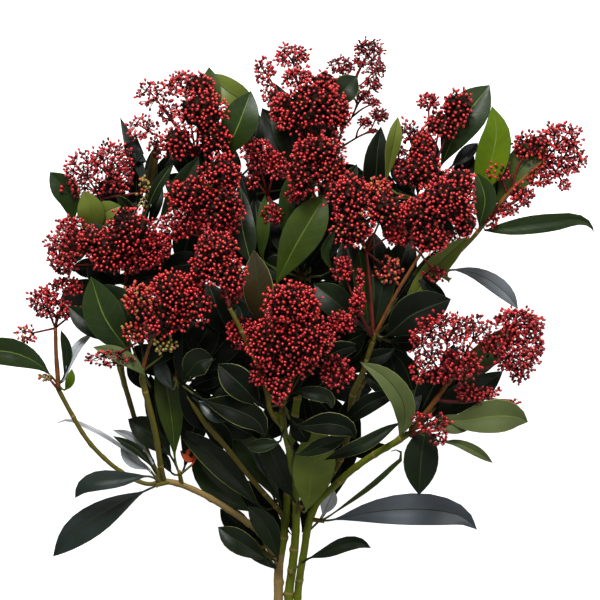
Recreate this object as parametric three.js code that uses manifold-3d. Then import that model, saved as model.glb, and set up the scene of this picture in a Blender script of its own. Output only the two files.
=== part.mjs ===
// A bunch of three cut skimmia stems, lying on a flat surface.
//
// Each stem forks into shoots. A shoot ends in a whorl of leathery leaves and, above it, a
// dense flower head of round red buds. Millimetres, +Z up, the cut ends towards -Y.
//
// The stems, shoots, leaves and flower heads are laid out on a square sheet, seen from above:
// u runs right, v runs towards the cut ends, and h is the height above the surface in mm.

import * as THREE from 'three';
import { mergeVertices } from 'three/addons/utils/BufferGeometryUtils.js';
import Module from 'manifold-3d';

const wasm = await Module();
wasm.setup();

// ---------------------------------------------------------------- driving dimensions (mm)

const SHEET_WIDTH = 510; // real width of the layout sheet
const SHEET_UNITS = 600; // layout units across that width
const UNIT = SHEET_WIDTH / SHEET_UNITS;
const SHEET_CENTRE_U = 300;
const DEPTH = 1.16; // heights on the sheet are drawn a little flat
const ORIGIN_X = -20.5; // where the middle of the bunch lies on the sheet
const ORIGIN_Y = 216;

const CLEAR = 0.3; // gap left between neighbouring solids
const CLEAR_SEARCH = 0.4; // how far the gap is looked for
const CLEAR_ROUNDING = 0.001;
const WELD = 1e-4; // corners closer than this are one
const SEAT_STEPS = 9; // halvings when a limb is seated on its carrier
const SEAT_MOST = 0.8; // and the most of its length
const SEAT_REACH = 17; // the most that may be trimmed from a limb to seat it

const STEM_SIDES = 7;
const TWIG_SIDES = 5;
const BRANCHLET_SIDES = 3;
const LIMB_STEP = 26; // one ring of a limb every so many mm
const TWIG_RADII = [2.3, 1.9]; // the piece of stem that carries a whorl of leaves

const LEAF_STATIONS = 5;
const BLADE_SIDES = 3;
const LEAF_THICKNESS = 0.015; // of its length, at the midrib
const LEAF_FOLD = 0.22; // how far the two halves rise from the midrib
const LEAF_ARCH = 0.1; // rise of the middle of a leaf, of its length
const LEAF_FOOT = 0.7; // where on the twig its leaves stand
const FLOOR_CLEAR = 0.5;
const PETIOLE_WIDTH = 2.4;
const PETIOLE_PART = 0.1; // the stalk's part of a leaf's length
const PETIOLE_THICKNESS = 0.85;
const LEAF_TIP_WIDTH = 0.6;
const LEAF_TIP_THINNING = 0.4;
const LEAF_SWELL = 1.12; // above 1 the leaf is widest past its middle
const LEAF_FULLNESS = 0.72; // below 1 its sides are fuller than an arc
const KEEL_SHARE = 0.67; // the midrib's depth under the blade, in thicknesses
const LEAF_LIFTS = [0, 6, -6, 12, -12, 18, -18, 25, -25, 33, -33, 42, -42];
const LEAF_TURNS = [0, 28, -28, 56, -56];
const LEAF_BENDS = [0, 0.09, -0.09];
const LEAF_SIZES = [1, 0.87, 0.74];
const LEAF_STANDOFF = 6; // a leaf's stalk leaves the twig sideways by this much

const STALK_RADII = [1.7, 1.7];
const BRANCHLET_RADII = [1.5, 1.5];
const CORE_SHARE = 1; // the core's part of a head's reach
const CORE_STEP = 0.94;
const CORE_LEAST = 0.35; // a core with less room than this part is left out
const CORE_KNOBS = 0.24; // how far the hollows between its knobs lie below its reach
const CORE_FINE_ABOVE = 18; // parts wider than this get the finer core
const BUD_RADIUS = 4.6; // larger than life: each stands for a spray of buds
const BUDS_PER_SIZE = 0.1; // for each mm of a head's mean reach
const BUD_INSET = 0.75; // how deep a bud's centre lies under the head's outline, in bud radii
const BUD_SCATTER = 0.5; // radians
const SEED = 1851;

// ---------------------------------------------------------------- colours

const GREEN_STEM = { color: 0x6b7336, roughness: 0.6, metalness: 0 };
const TAN_BARK = { color: 0x9a8560, roughness: 0.8, metalness: 0 };
const LEAF_GREEN = { color: 0x27391f, roughness: 0.35, metalness: 0 };
const BUD_RED = { color: 0xa81e26, roughness: 0.35, metalness: 0 };

// ---------------------------------------------------------------- the limbs
// Each limb starts on its carrier's centre line and tapers from the first radius to the last.

const LIMBS = [
  {
    name: 'stem_middle', look: GREEN_STEM, radii: [3.8, 2.5],
    route: [[288, 650, 4.4], [288, 597, 12], [292, 571, 18], [294, 545, 26], [296, 521, 36],
      [296, 498, 48], [293, 475, 62], [289, 450, 78], [284, 430, 92], [281, 412, 102]],
  },
  {
    name: 'stem_left', look: GREEN_STEM, radii: [3.4, 2.2],
    route: [[279, 650, 4], [277, 597, 12], [278, 566, 18], [283, 539, 22], [286, 510, 26],
      [288, 488, 30], [292, 440, 38], [300, 380, 50], [306, 320, 56], [308, 270, 59],
      [310, 192, 56]],
  },
  {
    name: 'stem_right', look: GREEN_STEM, radii: [3.4, 2.8],
    route: [[297, 650, 4], [298, 597, 12], [301, 571, 18], [304.5, 552, 24], [309, 525, 34],
      [318, 503, 44], [332, 490, 54], [360, 463, 72], [395, 440, 90], [408, 434, 97]],
  },
  {
    name: 'bough_left', look: TAN_BARK, radii: [3, 2.6],
    route: [[278, 566, 18], [270, 552, 21], [262, 538, 24], [238, 516, 32], [200, 492, 45],
      [178, 482, 52], [163, 481, 58]],
  },
  {
    name: 'shoot_left_front', look: GREEN_STEM, radii: [2.5, 2.5],
    route: [[163, 481, 58], [160, 466, 68], [155, 432, 84], [148, 403, 96], [142, 378, 104]],
  },
  {
    name: 'shoot_left_tall', look: GREEN_STEM, radii: [2.3, 2],
    route: [[163, 481, 58], [154, 470, 52], [149, 460, 48], [143, 444, 46], [135, 424, 46],
      [128, 400, 50], [121, 370, 60], [122, 330, 72], [125, 292, 84]],
  },
  {
    name: 'shoot_far_left', look: GREEN_STEM, radii: [1.9, 2],
    route: [[163, 481, 58], [150, 485, 57], [137, 482, 57], [115, 469, 60], [97, 451, 64],
      [84, 434, 68], [68, 406, 76], [58, 390, 80]],
  },
  {
    name: 'shoot_inner_left', look: GREEN_STEM, radii: [2.3, 2.2],
    route: [[285, 520, 25], [271, 503, 38], [247, 475, 54], [226, 448, 68], [206, 425, 80],
      [193, 405, 88], [180, 387, 94]],
  },
  {
    name: 'shoot_centre_left', look: GREEN_STEM, radii: [2, 1.8],
    route: [[284, 429, 92], [271, 412, 104], [265, 386, 113], [256, 362, 119], [241, 329, 130],
      [230, 308, 136]],
  },
  {
    name: 'shoot_right_centre', look: GREEN_STEM, radii: [2.6, 2.4],
    route: [[305, 546, 25], [309, 526, 22], [318, 500, 27], [329, 481, 36], [342, 458, 49],
      [350, 425, 69], [352, 397, 84], [362, 374, 94], [373, 341, 104]],
  },
  {
    name: 'shoot_far_right', look: GREEN_STEM, radii: [2, 1.8],
    route: [[352, 400, 82], [375, 366, 74], [400, 325, 70], [427, 287, 74], [449, 262, 78],
      [472, 239, 82], [488, 219, 85]],
  },
  {
    name: 'shoot_back_right', look: GREEN_STEM, radii: [2, 1.8],
    route: [[346, 445, 60], [362, 380, 48], [380, 310, 46], [400, 250, 50], [418, 205, 56]],
  },
  {
    name: 'shoot_back_left', look: GREEN_STEM, radii: [2, 1.8],
    route: [[291, 450, 36], [270, 400, 32], [244, 320, 38], [222, 250, 46], [208, 205, 54]],
  },
  {
    name: 'shoot_left_back', look: GREEN_STEM, radii: [1.7, 1.5],
    route: [[134, 422, 46], [118, 370, 34], [106, 310, 36], [101, 262, 42], [100, 232, 48]],
  },
];

// ---------------------------------------------------------------- the flower heads
// A stalk runs from its carrier to the fork, and short branches from there to each part of
// the head. A part is [u, v, h, half width, half height, half depth], the last three in mm.

const BLOOMS = [
  {
    name: 'bloom_centre', stalk: [[281, 410, 104], [284, 385, 116], [292, 352, 126]],
    parts: [[294, 320, 142, 34, 34, 28], [243, 336, 110, 17, 20, 16], [270, 387, 128, 18, 16, 13],
      [339, 374, 122, 13, 14, 10]],
  },
  {
    name: 'bloom_centre_left', stalk: [[230, 308, 136], [226, 294, 138], [222, 280, 138]],
    parts: [[220, 264, 140, 25, 29, 22]],
  },
  {
    name: 'bloom_left_front', stalk: [[142, 372, 106], [150, 346, 114], [160, 322, 120]],
    parts: [[182, 299, 130, 25, 26, 22], [142, 302, 128, 17, 20, 18], [135, 339, 128, 14, 9, 9],
      [167, 347, 124, 11, 10, 8], [112, 360, 120, 16, 8, 8]],
  },
  {
    name: 'bloom_left', stalk: [[126, 284, 88], [126, 272, 92], [122, 262, 96]],
    parts: [[128, 240, 106, 30, 29, 26], [66, 248, 98, 19, 23, 18], [94, 252, 102, 15, 16, 16]],
  },
  {
    name: 'bloom_far_left', stalk: [[57, 388, 82], [55, 358, 84], [55, 328, 84]],
    parts: [[50, 304, 86, 18, 15, 15], [71, 291, 84, 13, 13, 12], [29, 335, 84, 8, 7, 7]],
  },
  {
    name: 'bloom_left_top', stalk: [[100, 230, 50], [100, 212, 54], [101, 198, 60]],
    parts: [[100, 170, 68, 31, 26, 22]],
  },
  {
    name: 'bloom_upper_left', stalk: [[176, 380, 96], [184, 320, 96], [196, 240, 100]],
    parts: [[212, 190, 108, 24, 29, 22], [184, 207, 104, 15, 20, 16]],
  },
  {
    name: 'bloom_top_left', stalk: [[206, 202, 56], [203, 180, 62], [200, 160, 68]],
    parts: [[200, 121, 82, 27, 34, 24], [153, 97, 72, 13, 14, 12], [147, 133, 76, 17, 15, 14],
      [190, 76, 70, 13, 8, 9]],
  },
  {
    name: 'bloom_top', stalk: [[311, 181, 57], [311, 168, 61], [311, 150, 65]],
    parts: [[311, 106, 84, 35, 31, 26], [268, 82, 62, 13, 14, 12], [292, 58, 64, 16, 14, 13]],
  },
  {
    name: 'bloom_upper_centre', stalk: [[309, 244, 58], [317, 225, 74], [322, 200, 90]],
    parts: [[325, 162, 108, 30, 24, 22], [302, 186, 100, 15, 12, 12]],
  },
  {
    name: 'bloom_small_centre', stalk: [[308, 258, 59], [288, 232, 64], [268, 200, 66]],
    parts: [[262, 157, 76, 19, 15, 14], [274, 219, 78, 9, 9, 8]],
  },
  {
    name: 'bloom_top_right', stalk: [[418, 203, 56], [385, 170, 44], [355, 132, 46]],
    parts: [[342, 62, 44, 10, 9, 9], [370, 53, 44, 12, 12, 10], [377, 76, 46, 11, 12, 10],
      [371, 98, 46, 12, 10, 9], [374, 122, 48, 12, 10, 9]],
  },
  {
    name: 'bloom_right_top', stalk: [[418, 203, 56], [424, 190, 62], [430, 176, 68]],
    parts: [[430, 162, 80, 19, 23, 18], [412, 139, 70, 8, 17, 9], [449, 109, 74, 21, 19, 17]],
  },
  {
    name: 'bloom_centre_right', stalk: [[373, 335, 106], [370, 290, 112], [366, 252, 118]],
    parts: [[360, 222, 132, 26, 28, 24], [379, 189, 124, 14, 12, 12], [391, 270, 112, 14, 12, 10]],
  },
  {
    name: 'bloom_right_upper', stalk: [[374, 336, 106], [398, 290, 118], [420, 250, 124]],
    parts: [[445, 210, 134, 29, 32, 25], [424, 246, 126, 16, 11, 12]],
  },
  {
    name: 'bloom_inner_right', stalk: [[371, 336, 107], [362, 318, 118], [356, 300, 124]],
    parts: [[346, 316, 132, 15, 18, 13], [346, 272, 130, 10, 13, 10]],
  },
  {
    name: 'bloom_right', stalk: [[411, 431, 99], [434, 402, 108], [450, 378, 116]],
    parts: [[452, 343, 132, 30, 27, 22], [428, 384, 118, 14, 13, 10]],
  },
  {
    name: 'bloom_right_outer', stalk: [[412, 433, 97], [452, 396, 98], [488, 366, 104]],
    parts: [[517, 344, 120, 26, 31, 22], [489, 394, 112, 24, 11, 11]],
  },
  {
    name: 'bloom_right_front', stalk: [[411, 436, 98], [420, 434, 108], [426, 432, 116]],
    parts: [[436, 430, 124, 15, 13, 11]],
  },
  {
    name: 'bloom_far_right', stalk: [[490, 217, 86], [510, 191, 88], [527, 173, 90]],
    parts: [[553, 152, 94, 27, 26, 21], [498, 170, 92, 12, 10, 10], [528, 143, 88, 12, 10, 10],
      [522, 203, 90, 12, 10, 9]],
  },
  {
    name: 'bloom_under_left', stalk: [[125.5, 287, 86], [130, 274, 66], [129, 254, 36]],
    parts: [[126, 246, 12, 28, 26, 20]], rests: true,
  },
  {
    name: 'bloom_under_right', stalk: [[420, 203, 54], [432, 214, 44], [440, 220, 34]],
    parts: [[446, 216, 12, 26, 26, 20]], rests: true,
  },
  {
    name: 'bloom_under_top', stalk: [[309, 226, 58], [313, 200, 38], [314, 172, 26]],
    parts: [[314, 140, 12, 28, 26, 20]], rests: true,
  },
  {
    name: 'bloom_under_centre', stalk: [[300, 384, 50], [296, 360, 34], [294, 345, 26]],
    parts: [[292, 326, 11, 26, 25, 18]], rests: true,
  },
];

// ---------------------------------------------------------------- the leaves
// A whorl stands on the tip of its limb, or on a spur on the limb's side. A leaf runs from its
// whorl, or from a point near it, to its tip [u, v, h]. wide is its width across, roll turns it
// about its own length in degrees, and bend bows it sideways in parts of its length.

const WHORLS = [
  {
    name: 'leaves_centre', at: [281, 412, 102], to: [284, 401, 109],
    leaves: [
      { tip: [219, 365, 112], wide: 25, bend: 0.12 },
      { tip: [354, 440, 112], wide: 21, bend: 0.1 },
      { tip: [331, 409, 118], wide: 15, bend: 0.15 },
      { tip: [250, 350, 84], wide: 26 },
      { tip: [330, 350, 80], wide: 28 },
      { tip: [244, 438, 96], wide: 16, roll: 50, bend: -0.12 },
    ],
  },
  {
    name: 'leaves_left_front', at: [142, 378, 104], to: [143, 368, 109],
    leaves: [
      { tip: [91, 277, 124], wide: 35, from: [135, 365, 106], bend: 0.07 },
      { tip: [99, 286, 100], wide: 26, from: [140, 360, 98], bend: -0.1 },
      { tip: [95, 347, 110], wide: 13, bend: -0.12, roll: 35 },
      { tip: [66, 306, 92], wide: 20, from: [112, 345, 94] },
      { tip: [178, 330, 92], wide: 24 },
    ],
  },
  {
    name: 'leaves_left_tall', at: [125, 292, 84], to: [126, 282, 88],
    leaves: [
      { tip: [92, 222, 76], wide: 26 },
      { tip: [170, 232, 82], wide: 26 },
      { tip: [60, 300, 58], wide: 25 },
      { tip: [160, 340, 68], wide: 25 },
    ],
  },
  {
    name: 'leaves_far_left', at: [58, 390, 80], to: [57, 382, 82],
    leaves: [
      { tip: [-42, 350, 80], wide: 24, from: [50, 380, 82], bend: 0.1 },
      { tip: [66, 329, 88], wide: 12, roll: 40 },
      { tip: [91, 333, 82], wide: 10, roll: 60, bend: 0.1 },
      { tip: [76, 362, 90], wide: 11, roll: 30 },
      { tip: [20, 420, 62], wide: 18 },
    ],
  },
  {
    name: 'leaves_inner_left', at: [180, 387, 94], to: [175, 378, 98],
    leaves: [
      { tip: [213, 360, 106], wide: 18, bend: -0.12 },
      { tip: [160, 350, 84], wide: 16 },
      { tip: [265, 436, 104], wide: 25, from: [200, 398, 98], bend: -0.1 },
      { tip: [214, 318, 84], wide: 28 },
      { tip: [150, 310, 70], wide: 24 },
    ],
  },
  {
    name: 'leaves_right_centre', at: [373, 341, 104], to: [375, 333, 107],
    leaves: [
      { tip: [451, 301, 108], wide: 38, bend: 0.16 },
      { tip: [478, 235, 98], wide: 24, from: [394, 320, 92] },
      { tip: [359, 248, 106], wide: 18 },
      { tip: [389, 246, 98], wide: 22 },
      { tip: [312, 376, 88], wide: 24, bend: 0.1 },
      { tip: [314, 284, 106], wide: 26, bend: -0.1 },
      { tip: [440, 362, 88], wide: 26 },
    ],
  },
  {
    name: 'leaves_right', at: [408, 434, 97], to: [414, 429, 100],
    leaves: [
      { tip: [359, 361, 114], wide: 18, bend: -0.18, from: [402, 434, 102] },
      { tip: [420, 495, 92], wide: 29, bend: 0.06 },
      { tip: [528, 421, 104], wide: 27, bend: 0.16, from: [432, 424, 100] },
      { tip: [493, 463, 90], wide: 12, bend: 0.12 },
      { tip: [506, 370, 86], wide: 27, from: [432, 424, 88] },
      { tip: [325, 455, 92], wide: 14, roll: 35 },
      { tip: [346, 420, 90], wide: 20 },
    ],
  },
  {
    name: 'leaves_far_right', at: [488, 219, 85], to: [494, 212, 87],
    leaves: [
      { tip: [594, 231, 84], wide: 17, bend: 0.14, from: [486, 230, 84], roll: 20 },
      { tip: [492, 106, 96], wide: 32, bend: 0.05 },
      { tip: [480, 174, 100], wide: 17 },
      { tip: [560, 262, 60], wide: 20 },
    ],
  },
  {
    name: 'leaves_far_right_side', at: [440, 273, 76], to: [450, 280, 73],
    leaves: [
      { tip: [518, 308, 78], wide: 17, bend: 0.14 },
      { tip: [470, 350, 60], wide: 24 },
    ],
  },
  {
    name: 'leaves_back_right', at: [418, 205, 56], to: [422, 196, 58],
    leaves: [
      { tip: [488, 86, 62], wide: 33, bend: -0.06 },
      { tip: [480, 142, 52], wide: 13 },
      { tip: [380, 127, 66], wide: 22, from: [384, 190, 60] },
      { tip: [395, 116, 80], wide: 13, from: [392, 185, 66] },
      { tip: [500, 250, 40], wide: 26 },
    ],
  },
  {
    name: 'leaves_back_middle', at: [308, 278, 59], to: [300, 278, 70],
    leaves: [
      { tip: [325, 193, 92], wide: 32, from: [286, 276, 76], bend: -0.1 },
      { tip: [291, 170, 84], wide: 16 },
      { tip: [262, 262, 66], wide: 22 },
    ],
  },
  {
    name: 'leaves_back_top', at: [310, 192, 56], to: [311, 181, 57],
    leaves: [
      { tip: [278, 85, 46], wide: 28 },
      { tip: [358, 76, 56], wide: 20 },
      { tip: [386, 200, 40], wide: 26 },
      { tip: [240, 190, 36], wide: 26 },
      { tip: [324, 80, 30], wide: 26 },
    ],
  },
  {
    name: 'leaves_back_left', at: [208, 205, 54], to: [206, 195, 57],
    leaves: [
      { tip: [251, 93, 80], wide: 31, from: [223, 156, 70], bend: 0.12 },
      { tip: [212, 68, 60], wide: 24, from: [214, 130, 56] },
      { tip: [252, 92, 54], wide: 24, from: [216, 128, 54] },
      { tip: [248, 264, 92], wide: 22, from: [240, 188, 74] },
      { tip: [120, 118, 58], wide: 15, from: [146, 188, 58] },
      { tip: [158, 139, 70], wide: 10, roll: 50, from: [150, 178, 64] },
      { tip: [198, 157, 86], wide: 15, from: [150, 210, 74] },
    ],
  },
  {
    name: 'leaves_left_back', at: [100, 232, 48], to: [100, 222, 51],
    leaves: [
      { tip: [50, 173, 60], wide: 22, bend: 0.08 },
      { tip: [97, 189, 84], wide: 30 },
      { tip: [150, 170, 46], wide: 22 },
      { tip: [40, 262, 40], wide: 24 },
    ],
  },
  {
    name: 'leaves_low_left', at: [168, 481, 56], to: [156, 486, 66],
    leaves: [
      { tip: [52, 557, 40], wide: 30, bend: 0.08, from: [146, 490, 62] },
      { tip: [75, 497, 66], wide: 18, bend: 0.12 },
      { tip: [56, 424, 40], wide: 10, roll: 60, bend: 0.06 },
      { tip: [113, 431, 60], wide: 12 },
    ],
  },
  {
    name: 'leaves_low_upright', at: [181, 483, 51], to: [179, 470, 60],
    leaves: [
      { tip: [168, 352, 80], wide: 23 },
      { tip: [128, 420, 64], wide: 25 },
      { tip: [193, 463, 60], wide: 9 },
      { tip: [206, 380, 52], wide: 24 },
    ],
  },
  {
    name: 'leaves_low_foot', at: [268, 548, 22], to: [256, 552, 28],
    leaves: [
      { tip: [218, 526, 28], wide: 21, bend: 0.12 },
      { tip: [226, 510, 16], wide: 21 },
      { tip: [247, 505, 46], wide: 12 },
    ],
  },
  {
    name: 'leaves_low_centre', at: [286, 510, 26], to: [272, 510, 18],
    leaves: [
      { tip: [177, 431, 60], wide: 22, from: [258, 503, 40], bend: 0.05 },
      { tip: [193, 450, 36], wide: 22, from: [258, 508, 28] },
      { tip: [226, 432, 46], wide: 19 },
      { tip: [254, 446, 56], wide: 16 },
      { tip: [236, 400, 30], wide: 24 },
    ],
  },
  {
    name: 'leaves_low_middle', at: [296, 515, 39], to: [302, 508, 53],
    leaves: [
      { tip: [322, 420, 74], wide: 38 },
      { tip: [252, 420, 66], wide: 22 },
      { tip: [296, 440, 60], wide: 20, roll: 30 },
    ],
  },
  {
    name: 'leaves_low_right', at: [310, 521, 35], to: [324, 523, 40],
    leaves: [
      { tip: [476, 529, 44], wide: 24, bend: 0.16 },
      { tip: [403, 457, 56], wide: 8, roll: 60 },
      { tip: [382, 470, 30], wide: 24 },
      { tip: [352, 392, 40], wide: 26 },
    ],
  },
  {
    name: 'leaves_foot_front', at: [291, 578, 16], to: [291, 574, 30],
    leaves: [
      { tip: [371, 548, 30], wide: 14, bend: 0.1 },
    ],
  },
  {
    name: 'leaves_under_centre', at: [300, 384, 49], to: [302, 380, 34],
    leaves: [
      { tip: [250, 300, 22], wide: 28 },
      { tip: [352, 300, 20], wide: 28 },
      { tip: [230, 380, 14], wide: 26 },
      { tip: [372, 390, 14], wide: 26 },
      { tip: [310, 450, 14], wide: 24 },
    ],
  },
];

// ---------------------------------------------------------------- small helpers

function point([u, v, h]) {
  return new THREE.Vector3(
    (u - SHEET_CENTRE_U) * UNIT - ORIGIN_X,
    (SHEET_UNITS - v) * UNIT - ORIGIN_Y,
    h * DEPTH,
  );
}

function seededRandom(seed) {
  let state = seed >>> 0;
  return () => {
    state = (state + 0x6d2b79f5) >>> 0;
    let mix = Math.imul(state ^ (state >>> 15), 1 | state);
    mix = (mix + Math.imul(mix ^ (mix >>> 7), 61 | mix)) ^ mix;
    return ((mix ^ (mix >>> 14)) >>> 0) / 4294967296;
  };
}

const random = seededRandom(SEED);
const UP = new THREE.Vector3(0, 0, 1);
const GOLDEN_TURN = Math.PI * (3 - Math.sqrt(5));

function lerp(a, b, t) {
  return a + (b - a) * t;
}

function routeCurve(points) {
  return new THREE.CatmullRomCurve3(points, false, 'centripetal');
}

// A closed three.js geometry becomes a solid once its shared corners are one.
function solidOf(geometry) {
  geometry.deleteAttribute('normal');
  geometry.deleteAttribute('uv');
  const merged = mergeVertices(geometry, WELD);
  return new wasm.Manifold(new wasm.Mesh({
    numProp: 3,
    vertProperties: new Float32Array(merged.attributes.position.array),
    triVerts: new Uint32Array(merged.index.array),
  }));
}

function geometryOf(solid) {
  const mesh = solid.getMesh();
  const geometry = new THREE.BufferGeometry();
  geometry.setAttribute('position', new THREE.BufferAttribute(mesh.vertProperties, 3));
  geometry.setIndex(new THREE.BufferAttribute(mesh.triVerts, 1));
  return geometry;
}

// Loose scraps and sealed hollows go: the largest shell is the piece.
function largestPiece(solid) {
  const pieces = solid.decompose();
  pieces.sort((a, b) => b.volume() - a.volume());
  return pieces[0];
}

// ---------------------------------------------------------------- clearance between nodes

const nodes = new Map(); // name -> { solid, box, look }

function boxesMeet(a, b) {
  for (let axis = 0; axis < 3; axis += 1) {
    if (a.min[axis] - CLEAR_SEARCH > b.max[axis]) return false;
    if (b.min[axis] - CLEAR_SEARCH > a.max[axis]) return false;
  }
  return true;
}

function isClear(solid, ownName) {
  const box = solid.boundingBox();
  for (const [name, node] of nodes) {
    if (name === ownName) continue;
    if (!boxesMeet(box, node.box)) continue;
    if (node.solid.minGap(solid, CLEAR_SEARCH) < CLEAR - CLEAR_ROUNDING) return false;
  }
  return true;
}

function keep(name, solid, look) {
  nodes.set(name, { solid, box: solid.boundingBox(), look });
}

function grow(name, addition) {
  const node = nodes.get(name);
  node.solid = node.solid.add(addition);
  node.box = node.solid.boundingBox();
}

// ---------------------------------------------------------------- shapes

// A tapering tube along part of a curve, closed at both ends.
function tube(curve, start, radii, sides) {
  const length = curve.getLength() * (1 - start);
  const straight = curve.points.length === 2;
  const steps = straight ? 1 : Math.max(2, Math.round(length / LIMB_STEP));
  const centres = [];
  for (let i = 0; i <= steps; i += 1) centres.push(curve.getPointAt(lerp(start, 1, i / steps)));
  const frames = routeCurve(centres).computeFrenetFrames(steps, false);
  const geometry = new THREE.CylinderGeometry(1, 1, 1, sides, steps);
  const position = geometry.attributes.position;
  for (let i = 0; i < position.count; i += 1) {
    const t = position.getY(i) + 0.5;
    const ring = Math.round(t * steps);
    const radius = lerp(radii[0], radii[1], lerp(start, 1, t));
    const corner = centres[ring].clone()
      .addScaledVector(frames.normals[ring], position.getX(i) * radius)
      .addScaledVector(frames.binormals[ring], -position.getZ(i) * radius);
    position.setXYZ(i, corner.x, corner.y, corner.z);
  }
  return solidOf(geometry);
}

// The least trimming at the start that leaves the tube clear of everything else.
function seatedTube(curve, radii, sides, ownName) {
  let clearStart = Math.min(SEAT_MOST, SEAT_REACH / curve.getLength());
  if (!isClear(tube(curve, clearStart, radii, sides), ownName)) throw new Error(`no seat for ${ownName}`);
  let blockedStart = 0;
  if (isClear(tube(curve, 0, radii, sides), ownName)) return tube(curve, 0, radii, sides);
  for (let i = 0; i < SEAT_STEPS; i += 1) {
    const middle = (blockedStart + clearStart) / 2;
    if (isClear(tube(curve, middle, radii, sides), ownName)) clearStart = middle;
    else blockedStart = middle;
  }
  return tube(curve, clearStart, radii, sides);
}

// Half the width of a leaf at part t of its blade.
function bladeHalfWidth(t, wide) {
  const swell = Math.max(0, Math.sin(Math.PI * Math.pow(t, LEAF_SWELL)));
  return Math.max(LEAF_TIP_WIDTH / 2, (wide / 2) * Math.pow(swell, LEAF_FULLNESS));
}

// The bowed line that a leaf follows from the twig, through its start, to its tip.
function leafPath(foot, from, tip, bend) {
  const span = new THREE.Vector3().subVectors(tip, from);
  const side = new THREE.Vector3().crossVectors(span, UP).normalize();
  const middle = new THREE.Vector3().lerpVectors(from, tip, 0.5)
    .addScaledVector(UP, span.length() * LEAF_ARCH)
    .addScaledVector(side, -span.length() * bend);
  return routeCurve([foot, from, middle, tip]);
}

// A thin blade on a short stalk: flat above, with the midrib as a low keel beneath.
function leafSolid(foot, from, tip, shape) {
  const path = leafPath(foot, from, tip, shape.bend);
  const length = from.distanceTo(tip);
  const stalk = (foot.distanceTo(from) + length * PETIOLE_PART) / path.getLength();
  const roll = THREE.MathUtils.degToRad(shape.roll);
  const corner = Math.sin(Math.PI / 3);
  const geometry = new THREE.CylinderGeometry(1, 1, 1, BLADE_SIDES, LEAF_STATIONS);
  const position = geometry.attributes.position;
  for (let i = 0; i < position.count; i += 1) {
    const station = Math.round((position.getY(i) + 0.5) * LEAF_STATIONS);
    const atTip = station === LEAF_STATIONS;
    const blade = (station - 1) / (LEAF_STATIONS - 1);
    const t = station === 0 ? 0 : lerp(stalk, 1, blade);
    const along = path.getTangentAt(t);
    const across = new THREE.Vector3().crossVectors(along, UP).normalize()
      .applyAxisAngle(along, roll);
    const face = new THREE.Vector3().crossVectors(across, along);
    const half = station <= 1 ? PETIOLE_WIDTH / 2 : bladeHalfWidth(blade, shape.wide);
    const thick = Math.max(PETIOLE_THICKNESS, length * LEAF_THICKNESS) * (atTip ? LEAF_TIP_THINNING : 1);
    const x = position.getX(i) / corner;
    const place = path.getPointAt(t)
      .addScaledVector(across, -x * half)
      .addScaledVector(face, Math.abs(x) * half * LEAF_FOLD - position.getZ(i) * thick * KEEL_SHARE);
    position.setXYZ(i, place.x, place.y, place.z);
  }
  return solidOf(geometry);
}

// A lumpy egg that stands for the packed inside of a flower head.
function coreSolid(centre, reach, share) {
  const fine = Math.max(reach.x, reach.y) > CORE_FINE_ABOVE ? 1 : 0;
  const geometry = new THREE.IcosahedronGeometry(1, fine);
  geometry.deleteAttribute('normal');
  geometry.deleteAttribute('uv');
  const merged = mergeVertices(geometry, WELD);
  const position = merged.attributes.position;
  for (let i = 0; i < position.count; i += 1) {
    const corner = new THREE.Vector3().fromBufferAttribute(position, i);
    const knob = share * (1 - CORE_KNOBS * random());
    corner.multiply(reach).multiplyScalar(knob).add(centre);
    position.setXYZ(i, corner.x, corner.y, corner.z);
  }
  return solidOf(merged);
}

function budSolid(centre, radius, turn) {
  const geometry = new THREE.OctahedronGeometry(radius, 0);
  geometry.rotateZ(turn);
  geometry.translate(centre.x, centre.y, centre.z);
  return solidOf(geometry);
}

// ---------------------------------------------------------------- growing the bunch

function growLimbs() {
  for (const limb of LIMBS) {
    const curve = routeCurve(limb.route.map(point));
    const solid = seatedTube(curve, limb.radii, STEM_SIDES, limb.name);
    keep(limb.name, solid, limb.look);
  }
}

function growWhorlTwigs() {
  for (const whorl of WHORLS) {
    const start = point(whorl.at);
    const end = point(whorl.to);
    const curve = routeCurve([start, end]);
    const solid = seatedTube(curve, TWIG_RADII, TWIG_SIDES, whorl.name);
    keep(whorl.name, solid, LEAF_GREEN);
  }
}

function growStalks() {
  for (const bloom of BLOOMS) {
    const curve = routeCurve(bloom.stalk.map(point));
    const solid = seatedTube(curve, STALK_RADII, TWIG_SIDES, bloom.name);
    keep(bloom.name, solid, BUD_RED);
  }
}

// Each part of a head gets its short branch and its core, smaller where there is less room.
function growCores() {
  for (const bloom of BLOOMS) {
    const fork = point(bloom.stalk[bloom.stalk.length - 1]);
    for (const part of bloom.parts) {
      const centre = point(part);
      const reach = new THREE.Vector3(part[3], part[4], part[5]);
      const branchlet = tube(routeCurve([fork, centre]), 0, BRANCHLET_RADII, BRANCHLET_SIDES);
      let share = CORE_SHARE;
      let core = coreSolid(centre, reach, share);
      while (!isClear(core, bloom.name) && share > CORE_LEAST) {
        share *= CORE_STEP;
        core = coreSolid(centre, reach, share);
      }
      if (share > CORE_LEAST && isClear(branchlet, bloom.name)) {
        grow(bloom.name, branchlet);
        grow(bloom.name, core);
      }
    }
  }
}

// Where a leaf starts when no place is given: off the twig's side, on the side of its tip.
function leafStart(foot, axis, tip) {
  const way = new THREE.Vector3().subVectors(tip, foot);
  way.addScaledVector(axis, -way.dot(axis));
  if (way.length() < LEAF_STANDOFF) way.z += LEAF_STANDOFF;
  return foot.clone().addScaledVector(way.normalize(), LEAF_STANDOFF);
}

function* leafTries() {
  for (const size of LEAF_SIZES) {
    for (const bend of LEAF_BENDS) {
      for (const turn of LEAF_TURNS) {
        for (const lift of LEAF_LIFTS) yield { size, bend, turn, lift };
      }
    }
  }
}

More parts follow.
